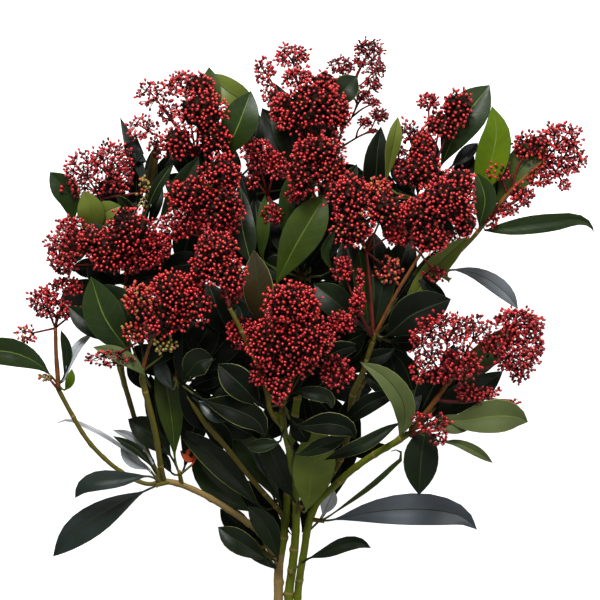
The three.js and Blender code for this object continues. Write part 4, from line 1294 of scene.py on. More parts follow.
HEADS = (
    Head("bloom_centre", ((281, 410, 104), (284, 385, 116), (290, 358, 124)), (
        Lobe((292, 303, 140), (29, 22, 25), tint=Tint.VIVID), Lobe((307, 338, 137), (28, 23, 23), tint=Tint.VIVID),
        Lobe((270, 342, 130), (24, 24, 21), tint=Tint.VIVID), Lobe((243, 333, 116), (18, 18, 15), Weave.LOOSE),
        Lobe((288, 366, 128), (25, 13, 14), tint=Tint.VIVID), Lobe((280, 387, 126), (12, 17, 12), tint=Tint.VIVID),
        Lobe((259, 374, 122), (10, 13, 8), Weave.OPEN), Lobe((336, 372, 120), (17, 17, 11), Weave.LOOSE))),
    Head("bloom_centre_left", ((230, 308, 136), (226, 294, 138), (222, 280, 138)), (
        Lobe((215, 249, 140), (20, 18, 18)), Lobe((224, 274, 138), (25, 21, 19)),
        Lobe((203, 268, 134), (14, 16, 14)), Lobe((231, 291, 132), (12, 12, 11), Weave.LOOSE))),
    Head("bloom_left_front", ((142, 372, 106), (150, 346, 114), (160, 328, 118)), (
        Lobe((174, 291, 130), (26, 21, 21), tint=Tint.VIVID), Lobe((195, 306, 128), (17, 19, 15), tint=Tint.VIVID),
        Lobe((139, 299, 126), (17, 17, 14), Weave.LOOSE, Tint.WARM),
        Lobe((166, 319, 124), (24, 15, 14), tint=Tint.VIVID),
        Lobe((136, 333, 122), (15, 11, 9), Weave.OPEN, Tint.WARM),
        Lobe((166, 345, 118), (13, 10, 8), Weave.OPEN, Tint.STRAW),
        Lobe((112, 358, 118), (23, 9, 8), Weave.OPEN, Tint.DEEP)), orange=True),
    Head("bloom_left", ((126, 284, 88), (126, 272, 92), (122, 262, 96)), (
        Lobe((130, 231, 106), (24, 21, 21)), Lobe((152, 249, 100), (19, 20, 16), Weave.LOOSE),
        Lobe((112, 254, 102), (22, 19, 18)), Lobe((65, 247, 96), (20, 21, 16), Weave.LOOSE),
        Lobe((92, 243, 98), (16, 17, 14)), Lobe((134, 262, 98), (18, 14, 13), Weave.LOOSE),
        Lobe((70, 224, 94), (15, 9, 9), Weave.LOOSE), Lobe((66, 266, 90), (15, 10, 9), Weave.LOOSE))),
    Head("bloom_far_left", ((58, 389, 82), (56, 358, 84), (55, 328, 84)), (
        Lobe((44, 300, 86), (16, 15, 12), Weave.LOOSE), Lobe((67, 287, 84), (17, 11, 11), Weave.LOOSE),
        Lobe((57, 311, 84), (19, 11, 11), Weave.LOOSE), Lobe((75, 312, 80), (8, 8, 7), Weave.OPEN),
        Lobe((28, 334, 84), (12, 10, 7), Weave.OPEN, Tint.WARM),
        Lobe((45, 377, 82), (8, 6, 4), Weave.OPEN, Tint.STRAW, ((57, 388, 82),))), radius=2.1, orange=True),
    Head("bloom_left_top", ((100, 230, 50), (100, 212, 54), (101, 198, 60)), (
        Lobe((109, 163, 68), (22, 19, 17), Weave.LOOSE), Lobe((82, 170, 66), (19, 19, 15), Weave.OPEN),
        Lobe((93, 187, 64), (26, 12, 12), Weave.OPEN), Lobe((123, 176, 64), (11, 18, 11), Weave.LOOSE),
        Lobe((144, 192, 72), (8, 16, 7), Weave.OPEN, Tint.STRAW))),
    Head("bloom_upper_left", ((176, 380, 96), (184, 320, 96), (200, 236, 100)), (
        Lobe((222, 174, 108), (21, 18, 19)), Lobe((190, 196, 106), (23, 20, 18)),
        Lobe((222, 206, 106), (21, 19, 17)), Lobe((188, 220, 102), (19, 16, 14), Weave.LOOSE),
        Lobe((218, 230, 98), (20, 13, 13), Weave.LOOSE), Lobe((171, 230, 94), (13, 16, 10), Weave.LOOSE))),
    Head("bloom_top_left", ((206, 202, 56), (203, 180, 62), (196, 156, 68)), (
        Lobe((201, 113, 84), (27, 22, 22), tint=Tint.VIVID), Lobe((200, 87, 74), (15, 14, 13)),
        Lobe((178, 143, 80), (18, 18, 16)), Lobe((213, 136, 82), (18, 20, 17)),
        Lobe((184, 84, 70), (19, 14, 11), Weave.LOOSE), Lobe((153, 94, 70), (16, 15, 10), Weave.OPEN),
        Lobe((143, 128, 72), (17, 13, 10), Weave.OPEN), Lobe((158, 146, 70), (11, 12, 9), Weave.OPEN),
        Lobe((168, 112, 72), (11, 13, 10), Weave.OPEN))),
    Head("bloom_top", ((311, 181, 57), (311, 168, 61), (311, 146, 65)), (
        Lobe((311, 106, 84), (30, 28, 24), tint=Tint.VIVID), Lobe((336, 112, 80), (16, 21, 16), tint=Tint.VIVID),
        Lobe((283, 112, 76), (14, 20, 14), tint=Tint.VIVID), Lobe((298, 78, 76), (16, 12, 12), Weave.LOOSE),
        Lobe((325, 84, 78), (14, 13, 13)), Lobe((292, 56, 64), (18, 13, 10), Weave.LOOSE),
        Lobe((265, 71, 62), (13, 15, 9), Weave.OPEN), Lobe((269, 94, 62), (8, 13, 8), Weave.OPEN))),
    Head("bloom_upper_centre", ((309, 244, 58), (317, 225, 74), (320, 205, 86)), (
        Lobe((316, 150, 104), (25, 16, 18)), Lobe((304, 174, 102), (18, 21, 16)),
        Lobe((331, 170, 104), (17, 18, 14)), Lobe((296, 196, 92), (12, 8, 9), Weave.OPEN))),
    Head("bloom_small_centre", ((308, 258, 59), (288, 232, 64), (268, 196, 66)), (
        Lobe((256, 153, 76), (17, 15, 12), Weave.LOOSE), Lobe((275, 164, 74), (13, 16, 11), Weave.LOOSE),
        Lobe((254, 178, 70), (8, 14, 8), Weave.OPEN), Lobe((272, 215, 78), (12, 11, 8), Weave.LOOSE))),
    Head("bloom_top_right", ((311, 190, 56), (325, 166, 46), (338, 149, 44)), (
        Lobe((369, 51, 44), (16, 14, 8), Weave.FINE, Tint.BROWN,
             ((338, 149, 44), (342, 130, 42), (352, 117, 42), (357, 102, 43), (357, 78, 43))),
        Lobe((375, 68, 46), (12, 11, 7), Weave.FINE, Tint.BROWN, ((357, 104, 43), (353, 92, 44), (364, 82, 44))),
        Lobe((362, 62, 44), (10, 10, 6), Weave.FINE, Tint.BROWN, ((357, 90, 43), (356, 76, 43))),
        Lobe((342, 67, 44), (13, 12, 7), Weave.FINE, Tint.BROWN, ((342, 130, 42), (345, 100, 40), (345, 84, 42))),
        Lobe((373, 84, 46), (11, 10, 6), Weave.FINE, Tint.BROWN, ((352, 117, 42), (358, 104, 44))),
        Lobe((362, 95, 46), (13, 9, 6), Weave.FINE, Tint.BROWN, ((352, 117, 42), (356, 108, 44))),
        Lobe((372, 102, 46), (10, 7, 5), Weave.FINE, Tint.BROWN, ((352, 117, 42), (362, 109, 44))),
        Lobe((379, 116, 48), (11, 9, 6), Weave.FINE, Tint.BROWN, ((338, 149, 44), (356, 138, 44), (370, 130, 46))),
        Lobe((365, 122, 48), (9, 7, 5), Weave.FINE, Tint.BROWN, ((356, 138, 44), (358, 130, 46))),
        Lobe((373, 131, 48), (7, 4, 4), Weave.FINE, Tint.BROWN, ((356, 138, 44), (364, 134, 46)))), radius=1.5),
    Head("bloom_right_top", ((418, 203, 56), (424, 196, 62), (428, 188, 66)), (
        Lobe((424, 172, 82), (21, 18, 17)), Lobe((421, 144, 78), (15, 18, 13)),
        Lobe((408, 133, 70), (10, 14, 8), Weave.OPEN, Tint.DEEP), Lobe((456, 107, 74), (16, 18, 14)),
        Lobe((440, 125, 74), (17, 16, 11)), Lobe((429, 102, 72), (12, 11, 9), Weave.LOOSE),
        Lobe((402, 164, 66), (10, 20, 8), Weave.OPEN, Tint.DEEP))),
    Head("bloom_centre_right", ((373, 335, 106), (370, 290, 112), (366, 252, 118)), (
        Lobe((350, 198, 132), (20, 23, 21)), Lobe((354, 228, 132), (21, 21, 19), tint=Tint.MIXED),
        Lobe((384, 212, 128), (19, 18, 17), tint=Tint.MIXED),
        Lobe((380, 186, 120), (14, 10, 9), Weave.LOOSE, Tint.WARM),
        Lobe((392, 234, 120), (13, 12, 10), Weave.LOOSE), Lobe((389, 270, 112), (15, 14, 9), Weave.OPEN, Tint.AMBER))),
    Head("bloom_right_upper", ((374, 336, 106), (398, 290, 118), (420, 254, 122)), (
        Lobe((448, 202, 134), (27, 22, 23), tint=Tint.VIVID), Lobe((458, 184, 128), (16, 16, 15)),
        Lobe((418, 216, 128), (19, 20, 16)), Lobe((430, 240, 128), (19, 16, 14)),
        Lobe((464, 222, 128), (13, 15, 13)), Lobe((404, 236, 118), (12, 12, 9), Weave.LOOSE),
        Lobe((435, 274, 108), (12, 9, 7), Weave.OPEN)), orange=True),
    Head("bloom_inner_right", ((371, 336, 107), (364, 322, 118), (356, 306, 124)), (
        Lobe((343, 321, 130), (15, 12, 11), Weave.LOOSE), Lobe((358, 303, 128), (9, 15, 9), Weave.LOOSE),
        Lobe((343, 270, 128), (11, 15, 9), Weave.LOOSE), Lobe((360, 280, 122), (5, 12, 5), Weave.OPEN))),
    Head("bloom_right", ((411, 431, 99), (434, 402, 108), (447, 383, 114)), (
        Lobe((447, 330, 130), (30, 19, 18), Weave.THIN), Lobe((460, 362, 126), (21, 18, 15), Weave.LOOSE),
        Lobe((427, 352, 122), (16, 23, 13), Weave.OPEN), Lobe((478, 332, 122), (14, 17, 12), Weave.OPEN),
        Lobe((420, 370, 116), (11, 15, 8), Weave.OPEN, Tint.MIXED), Lobe((441, 374, 120), (17, 11, 9), Weave.LOOSE)),
        radius=2.6, orange=True),
    Head("bloom_right_outer", ((447, 384, 108), (466, 358, 108), (488, 338, 110)), (
        Lobe((517, 324, 118), (26, 17, 14), Weave.CLOSE), Lobe((531, 343, 116), (14, 20, 12), Weave.CLOSE),
        Lobe((516, 361, 116), (22, 14, 12), Weave.CLOSE, branch=((464, 372, 108), (486, 368, 108))),
        Lobe((498, 344, 114), (14, 14, 10), Weave.LOOSE), Lobe((519, 377, 110), (11, 7, 6), Weave.OPEN),
        Lobe((514, 345, 116), (13, 10, 10), Weave.LOOSE),
        Lobe((470, 392, 112), (17, 11, 8), Weave.LOOSE, branch=((436, 400, 106), (458, 401, 108))),
        Lobe((491, 392, 110), (11, 8, 6), Weave.OPEN, branch=((436, 400, 106), (466, 402, 107), (482, 398, 108))),
        Lobe((512, 403, 104), (8, 6, 4), Weave.OPEN, branch=((482, 398, 108), (500, 400, 106)))),
        radius=2.2, orange=True),
    Head("bloom_right_front", ((411, 436, 98), (418, 432, 108), (422, 430, 114)), (
        Lobe((433, 423, 122), (17, 10, 9), Weave.OPEN), Lobe((438, 437, 118), (11, 10, 8), Weave.OPEN),
        Lobe((420, 419, 118), (9, 8, 7), Weave.OPEN))),
    Head("bloom_far_right", ((490, 217, 86), (510, 192, 88), (532, 171, 90), (546, 159, 91)), (
        Lobe((561, 141, 94), (22, 19, 14), Weave.LOOSE), Lobe((572, 157, 92), (13, 17, 12), Weave.LOOSE),
        Lobe((556, 167, 92), (18, 12, 10), Weave.LOOSE), Lobe((545, 150, 92), (13, 14, 10), Weave.OPEN),
        Lobe((528, 145, 92), (16, 13, 11), Weave.LOOSE, branch=((512, 190, 88), (519, 164, 90))),
        Lobe((499, 170, 92), (14, 12, 9), Weave.OPEN, branch=((508, 194, 88), (503, 180, 90))),
        Lobe((539, 178, 90), (14, 11, 8), Weave.LOOSE), Lobe((564, 184, 90), (9, 8, 5), Weave.OPEN),
        Lobe((523, 194, 88), (13, 14, 8), Weave.LOOSE, branch=((500, 206, 88), (514, 202, 88))),
        Lobe((507, 208, 86), (13, 10, 6), Weave.LOOSE, branch=((494, 213, 88), (500, 211, 87))),
        Lobe((492, 220, 86), (9, 10, 6), Weave.OPEN, branch=((488, 218, 88),))),
        radius=2.4, orange=True),
    Head("bloom_under_left", ((125.5, 287, 86), (130, 274, 66), (129, 254, 36)), (
        Lobe((126, 246, 13), (28, 26, 20), Weave.LOOSE),)),
    Head("bloom_under_right", ((420, 203, 54), (432, 214, 44), (440, 220, 34)), (
        Lobe((446, 216, 13), (26, 26, 20), Weave.LOOSE),)),
    Head("bloom_under_top", ((309, 226, 58), (313, 200, 38), (314, 172, 26)), (
        Lobe((314, 140, 13), (28, 26, 20), Weave.LOOSE),)),
    Head("bloom_under_centre", ((300, 384, 50), (296, 360, 34), (294, 345, 26)), (
        Lobe((292, 326, 12), (26, 25, 18), Weave.LOOSE),)),
)


@dataclass
class FlowerHeads:
    """The flower heads: thousands of small buds on fine stalks that fork from a stout one."""

    bud_radius: float = 1.4
    bud_length: float = 1.18
    cluster_gap: float = 9.5
    cluster_depth: float = 0.74
    heart_depth: float = 0.42
    stalk_cone: float = 0.78
    shared_depth: float = 0.78
    dome_drop: float = 0.5
    stand_out: float = 0.12
    lumps: int = 7
    lump_width: float = 0.2
    fine_part: float = 0.78
    full_part: float = 0.94
    # core_part, core_floor and inner_shade shape the painted shade inside full lobes: large dark core balls and
    # darkened inner buds.
    core_part: float = 3.2
    core_floor: float = 0.4
    inner_floor: float = 0.6
    inner_shade: float = 0.5
    node_scatter: float = 0.12
    lump_scatter: float = 0.25
    lump_range: tuple[float, float] = (-0.2, 0.16)
    node_range: tuple[float, float] = (0.9, 1.08)
    size_range: tuple[float, float] = (0.88, 1.08)
    layer_step: float = 0.21
    layer_spread: float = 1.14
    jitter: float = 0.19
    floor: float = 2.4 * MM
    seed: int = SEED + 31
    chance: np.random.Generator = field(init=False)

    def __post_init__(self) -> None:
        """Shape the buds that all are copied from: a fine one for outside, a plain one within."""
        self.chance = np.random.default_rng(self.seed)
        self.outer = self.shape(lambda bm: bmesh.ops.create_uvsphere(bm, u_segments=6, v_segments=4, radius=1.0))
        self.inner = self.shape(lambda bm: bmesh.ops.create_icosphere(bm, subdivisions=1, radius=1.0))

    def shape(self, make: Callable[[bmesh.types.BMesh], object]) -> tuple[np.ndarray, np.ndarray, np.ndarray]:
        """Shape one bud, a ball drawn out along Z and narrowed at its foot.

        Args:
            make: Puts a ball into the mesh it is given.

        Returns:
            The places of its vertices, its faces' corners in a row, and its faces' sizes.
        """
        bm = bmesh.new()
        make(bm)
        for vert in bm.verts:
            narrow = 1.0 - 0.22 * max(0.0, -vert.co.z)
            vert.co = Vector((vert.co.x * narrow, vert.co.y * narrow, vert.co.z * self.bud_length))
        places = np.array([vert.co[:] for vert in bm.verts])
        corners = np.array([vert.index for face in bm.faces for vert in face.verts])
        sizes = np.array([len(face.verts) for face in bm.faces])
        bm.free()
        return places, corners, sizes

    @staticmethod
    def spread(count: int) -> np.ndarray:
        """Spread directions evenly over a sphere, one row each."""
        steps = np.arange(count)
        height = 1 - 2 * (steps + 0.5) / count
        ring = np.sqrt(1 - height * height)
        turn = steps * GOLDEN_TURN
        return np.stack([ring * np.cos(turn), ring * np.sin(turn), height], axis=1)

    @staticmethod
    def turned(ways: np.ndarray) -> np.ndarray:
        """Give for each direction a matrix that turns +Z to it."""
        helper = np.where(np.abs(ways[:, 2:3]) < 0.9, np.array([[0.0, 0.0, 1.0]]), np.array([[1.0, 0.0, 0.0]]))
        one = np.cross(helper, ways)
        one = one / np.linalg.norm(one, axis=1, keepdims=True)
        two = np.cross(ways, one)
        return np.stack([one, two, ways], axis=2)

    def add_buds(self, joined: JoinedMesh, bud: tuple[np.ndarray, np.ndarray, np.ndarray], places: np.ndarray,
                 ways: np.ndarray, sizes: np.ndarray, looks: np.ndarray) -> None:
        """Add a swarm of buds.

        Args:
            joined: The mesh that they join.
            bud: The bud that they are copied from.
            places: Their middles.
            ways: The directions of their tips.
            sizes: Their radii in metres.
            looks: Their material slots.
        """
        count = len(places)
        if not count:
            return
        turned = self.turned(ways)
        bud_places, bud_corners, bud_sizes = bud
        shape = bud_places[None, :, :] * sizes[:, None, None]
        points = np.einsum("nij,nkj->nki", turned, shape) + places[:, None, :]
        corners = (bud_corners[None, :] + np.arange(count)[:, None] * len(bud_places)).ravel()
        joined.add(points.reshape(-1, 3), corners, np.tile(bud_sizes, count), np.repeat(looks, len(bud_sizes)))

    @staticmethod
    def add_sticks(joined: JoinedMesh, starts: np.ndarray, ends: np.ndarray, thick: np.ndarray,
                   thin: np.ndarray, look: int, sides: int = 3) -> None:
        """Add straight tapering stalks, closed at both ends.

        Args:
            joined: The mesh that they join.
            starts: Their first points.
            ends: Their last points.
            thick: Radii at the start in metres.
            thin: Radii at the end in metres.
            look: Their material slot.
            sides: How many sides each has.
        """
        count = len(starts)
        if not count:
            return
        way = ends - starts
        way = way / np.maximum(1e-9, np.linalg.norm(way, axis=1, keepdims=True))
        turned = FlowerHeads.turned(way)
        turns = np.arange(sides) * 2 * math.pi / sides
        ring = np.stack([np.cos(turns), np.sin(turns), np.zeros(sides)], axis=1)
        near = np.einsum("nij,nkj->nki", turned, ring[None] * thick[:, None, None]) + starts[:, None, :]
        far = np.einsum("nij,nkj->nki", turned, ring[None] * thin[:, None, None]) + ends[:, None, :]
        points = np.concatenate([near, far], axis=1)
        one = [[k, (k + 1) % sides, sides + (k + 1) % sides, sides + k] for k in range(sides)]
        flat = [n for quad in one for n in quad]
        flat += list(range(sides - 1, -1, -1)) + list(range(sides, 2 * sides))
        sizes = np.array([4] * sides + [sides, sides])
        corners = (np.array(flat)[None, :] + np.arange(count)[:, None] * 2 * sides).ravel()
        joined.add(points.reshape(-1, 3), corners, np.tile(sizes, count), np.full(count * len(sizes), look))

    def lobe(self, buds: JoinedMesh, stalks: JoinedMesh, head: Head, lobe: Lobe) -> None:
        """Fill one lobe with buds on their stalks.

        Args:
            buds: The mesh of buds.
            stalks: The mesh of stalks.
            head: Its head.
            lobe: The lobe.
        """
        gap, layers, loose, side_share = lobe.weave.value
        # Lobes of the plain red mix with fewer than two inner layers take the darker painted-shade mix.
        tint = Tint.SOFT if lobe.tint is Tint.RED and layers < 2 else lobe.tint
        centre, fork = np.array(seen(lobe.spot)), np.array(place(head.stalk[-1]))
        reach = np.array(lobe.reach) * MM
        mean = float(np.mean(lobe.reach))
        back = fork - centre
        back = back / max(1e-9, np.linalg.norm(back))
        heart = centre + back * min(np.linalg.norm(fork - centre), float(reach.min()) * 0.6)
        area = 4 * math.pi * mean * mean
        nodes = self.spread(max(6, round(area / self.cluster_gap ** 2)))
        nodes = nodes + self.chance.normal(0, self.node_scatter, nodes.shape)
        nodes = nodes / np.linalg.norm(nodes, axis=1, keepdims=True)
        nodes = nodes[nodes @ back < self.stalk_cone]
        bumps = self.spread(self.lumps) + self.chance.normal(0, self.lump_scatter, (self.lumps, 3))
        bumps = bumps / np.linalg.norm(bumps, axis=1, keepdims=True)
        swells = self.chance.uniform(*self.lump_range, self.lumps)
        sizes = self.chance.uniform(*self.node_range, len(nodes))
        sizes = sizes * (1 + np.exp((nodes @ bumps.T - 1) / self.lump_width) @ swells)
        knots = centre + nodes * reach * (self.cluster_depth * sizes)[:, None]
        knots[:, 2] = np.maximum(knots[:, 2], self.floor)
        hubs = self.spread(max(4, len(nodes) // 6)) * reach * self.heart_depth + centre
        hubs[:, 2] = np.maximum(hubs[:, 2], self.floor)
        near = np.argmin(np.linalg.norm(knots[:, None] - hubs[None], axis=2), axis=1)
        used = np.unique(near)
        full = np.full
        if lobe.branch:
            bend = [*(seen(spot) for spot in lobe.branch), Vector(heart)]
            self.run_stalk(stalks, bend, head.radius * 0.6, STALK_RED, 6)
        else:
            self.add_sticks(stalks, full((1, 3), 1.0) * fork, full((1, 3), 1.0) * heart,
                            full(1, 1.1 * MM), full(1, 0.9 * MM), STALK_RED, 5)
        self.add_sticks(stalks, np.repeat(heart[None], len(used), 0), hubs[used],
                        full(len(used), 0.85 * MM), full(len(used), 0.65 * MM), STALK_RED, 4)
        self.add_sticks(stalks, hubs[near], knots,
                        full(len(knots), 0.6 * MM), full(len(knots), 0.42 * MM), STALK_MAROON)
        for layer in range(layers + 1):
            shell = 1.0 - self.layer_step * layer
            apart = gap * self.layer_spread ** layer
            ways = self.spread(max(8, round(area * shell * shell / apart ** 2)))
            ways = ways + self.chance.normal(0, self.jitter * gap / mean, ways.shape)
            ways = ways / np.linalg.norm(ways, axis=1, keepdims=True)
            kept = self.chance.random(len(ways)) < side_share + (1 - side_share) * np.abs(ways[:, 2])
            ways = ways[(ways @ back < self.stalk_cone) & (kept | (layer > 0))]
            owner = np.argmax(ways @ nodes.T, axis=1)
            close = np.sum(ways * nodes[owner], axis=1)
            dome = 1.0 - np.clip(1 - close, 0, 0.2) * self.dome_drop
            dome = dome * sizes[owner]
            inward = 1 + self.stand_out * self.chance.random(len(ways)) ** 3
            inward = inward - loose * self.chance.random(len(ways)) ** 1.6
            places = centre + ways * reach * (shell * dome * inward)[:, None]
            places = places - ways * self.bud_radius * MM
            radii = self.bud_radius * MM * self.chance.uniform(*self.size_range, len(ways))
            radii = radii * {Weave.FINE: self.fine_part, Weave.FULL: self.full_part}.get(lobe.weave, 1.0)
            # The core layer is a few large dark balls: painted shade that fills the middle of a full lobe.
            radii = radii * (self.core_part if layer == 2 else 1.0)
            stalk_way = places - knots[owner]
            far = np.linalg.norm(stalk_way, axis=1, keepdims=True)
            stalk_way = stalk_way / np.maximum(far, 1e-6)
            facing = stalk_way * 0.4 + ways
            facing = facing / np.linalg.norm(facing, axis=1, keepdims=True)
            keep = places[:, 2] > self.floor
            for other in head.lobes:
                if other is not lobe:
                    off = (places - np.array(seen(other.spot))) / (np.array(other.reach) * MM)
                    keep &= np.linalg.norm(off, axis=1) > (self.shared_depth, self.inner_floor, self.core_floor)[layer]
            places, facing, radii, owner = places[keep], facing[keep], radii[keep], owner[keep]
            shares = np.cumsum(tint.value) / sum(tint.value)
            looks = np.searchsorted(shares, self.chance.random(len(places)))
            # Painted shade: in full lobes, half of the first inner layer and all of the core take the near-black shade
            # finish, the rest the dark red.
            if layer and layers == 2:
                share = self.inner_shade if layer == 1 else 1.0
                looks = np.where(self.chance.random(len(places)) < share, BUD_SHADE, BUD_DEEP)
            looks = np.minimum(looks, BUD_BROWN)
            self.add_buds(buds, self.inner if layer else self.outer, places, facing, radii, looks)
            if layer < 2:
                feet = knots[owner]
                ends = places - facing * (radii * self.bud_length * 0.8)[:, None]
                count = len(places)
                self.add_sticks(stalks, feet, ends, full(count, 0.3 * MM), full(count, 0.36 * MM), STALK_MAROON)

    def run_stalk(self, stalks: JoinedMesh, points: Sequence[Vector], radius: float, look: int, sides: int) -> None:
        """Run a bent tapering stalk through a few points.

        Args:
            stalks: The mesh of stalks.
            points: The points that it runs through.
            radius: Its first radius in mm.
            look: Its material slot.
            sides: How many sides it has.
        """
        route = Route(points)
        steps = max(4, round(route.length / (3 * MM)))
        parts = [i / steps for i in range(steps + 1)]
        centres = route.at(parts)
        side, other = carried_frames(route.directions(parts))
        turns = np.arange(sides) * 2 * math.pi / sides
        rings = []
        for row, centre in enumerate(centres):
            girth = radius * (1 - 0.25 * parts[row]) * (1 + 0.05 * self.chance.normal())
            ridge = 1 + 0.06 * np.sin(turns * 3 + row * 0.4)
            ring = np.cos(turns)[:, None] * side[row] + np.sin(turns)[:, None] * other[row]
            rings.append(centre + ring * (girth * ridge * MM)[:, None])
        quads = []
        for row in range(steps):
            for k in range(sides):
                after = (k + 1) % sides
                low, high = row * sides, (row + 1) * sides
                quads.append((low + k, low + after, high + after, high + k))
        corners = [n for quad in quads for n in quad]
        corners += list(range(sides - 1, -1, -1)) + [steps * sides + k for k in range(sides)]
        sizes = np.array([4] * len(quads) + [sides, sides])
        stalks.add(np.concatenate(rings), np.array(corners), sizes, np.full(len(sizes), look))

    def build(self, name: str, heads: Sequence[Head], bud_materials: Sequence[bpy.types.Material],
              stalk_materials: Sequence[bpy.types.Material]) -> tuple[bpy.types.Object, bpy.types.Object]:
        """Make one group of heads as a piece of buds and a piece of stalks.

        Args:
            name: The group's name.
            heads: The heads in it.
            bud_materials: The bud finishes by slot.
            stalk_materials: The stalk finishes by slot.

        Returns:
            The buds and the stalks.
        """
        buds, stalks = JoinedMesh(), JoinedMesh()
        for head in heads:
            look = STALK_ORANGE if head.orange else STALK_RED
            self.run_stalk(stalks, [place(spot) for spot in head.stalk], head.radius, look, 10)
            for lobe in head.lobes:
                self.lobe(buds, stalks, head, lobe)
        return buds.build(f"buds_{name}", bud_materials), stalks.build(f"bud_stalks_{name}", stalk_materials)


# ------------------------------------------------------------------ studio


@dataclass
class Studio:
    """The pale table, the soft light and the camera."""

    table_size: float = 6.0
    table_glow: float = 0.08
    sky_light: float = 0.16
    view_width: float = 0.51
    sensor: float = 36.0

    def table(self) -> None:
        """Lay the table."""
        bm = bmesh.new()
        bmesh.ops.create_grid(bm, x_segments=4, y_segments=4, size=self.table_size / 2)
        mesh = bpy.data.meshes.new("table_top")
        bm.to_mesh(mesh)
        bm.free()
        work = Material("white_table")
        noise = work.node("ShaderNodeTexNoise", {"Scale": 30.0, "Vector": work.spot["Object"]})
        seen_directly = work.node("ShaderNodeLightPath").outputs["Is Camera Ray"]
        work.feed(work.shader, {
            "Base Color": work.mix(noise.outputs["Fac"], (0.64, 0.64, 0.64, 1.0), (0.67, 0.67, 0.67, 1.0)),
            "Roughness": 0.9, "Specular IOR Level": 0.1, "Emission Color": (1.0, 1.0, 1.0, 1.0),
            "Emission Strength": work.mapped(seen_directly, 0.0, 1.0, self.table_glow)})
        table = into_scene("table_top", mesh, [work.made])

    def lamp(self, name: str, where: Vector, size: float, power: float) -> None:
        """Hang one soft square lamp that faces the bunch.

        Args:
            name: Its name.
            where: Its place.
            size: Its width in metres.
            power: Its power in watts.
        """
        light = bpy.data.lights.new(name, "AREA")
        light.shape = "SQUARE"
        light.size = size
        light.energy = power
        thing = into_scene(name, light)
        thing.location = where
        way = Vector((0.0, 0.0, 0.08)) - where
        thing.rotation_euler = way.to_track_quat("-Z", "Y").to_euler()

    def world(self) -> None:
        """Set a dim white sky that looks white itself."""
        world = bpy.data.worlds.new("studio")
        world.use_nodes = True
        work = NodeWork(world.node_tree)
        seen_directly = work.node("ShaderNodeLightPath").outputs["Is Camera Ray"]
        work.feed(work.tree.nodes["Background"], {
            "Color": (1.0, 0.97, 0.92, 1.0), "Strength": work.mapped(seen_directly, 0.0, 1.0, self.sky_light)})
        bpy.context.scene.world = world

    def camera(self) -> None:
        """Hang the camera straight above the sheet's middle."""
        middle = place((SHEET / 2, SHEET / 2, 0))
        data = bpy.data.cameras.new("camera")
        data.sensor_width = self.sensor
        data.lens = self.sensor * (CAMERA_HEIGHT - FOCUS_HEIGHT) / self.view_width
        data.clip_end = 50.0
        thing = into_scene("camera", data)
        thing.location = (middle.x, middle.y, CAMERA_HEIGHT)
        bpy.context.scene.camera = thing

    def build(self) -> None:
        """Set up everything around the bunch."""
        self.table()
        self.world()
        self.lamp("key", Vector((-0.35, 1.75, 1.75)), 0.8, 70.0)
        self.lamp("side", Vector((1.9, 0.2, 1.6)), 1.6, 16.0)
        self.lamp("fill", Vector((-0.2, -0.9, 2.5)), 1.6, 4.5)
        self.camera()
        view = bpy.context.scene.view_settings
        view.view_transform = "Standard"
        view.look = "None"


# ------------------------------------------------------------------ palette

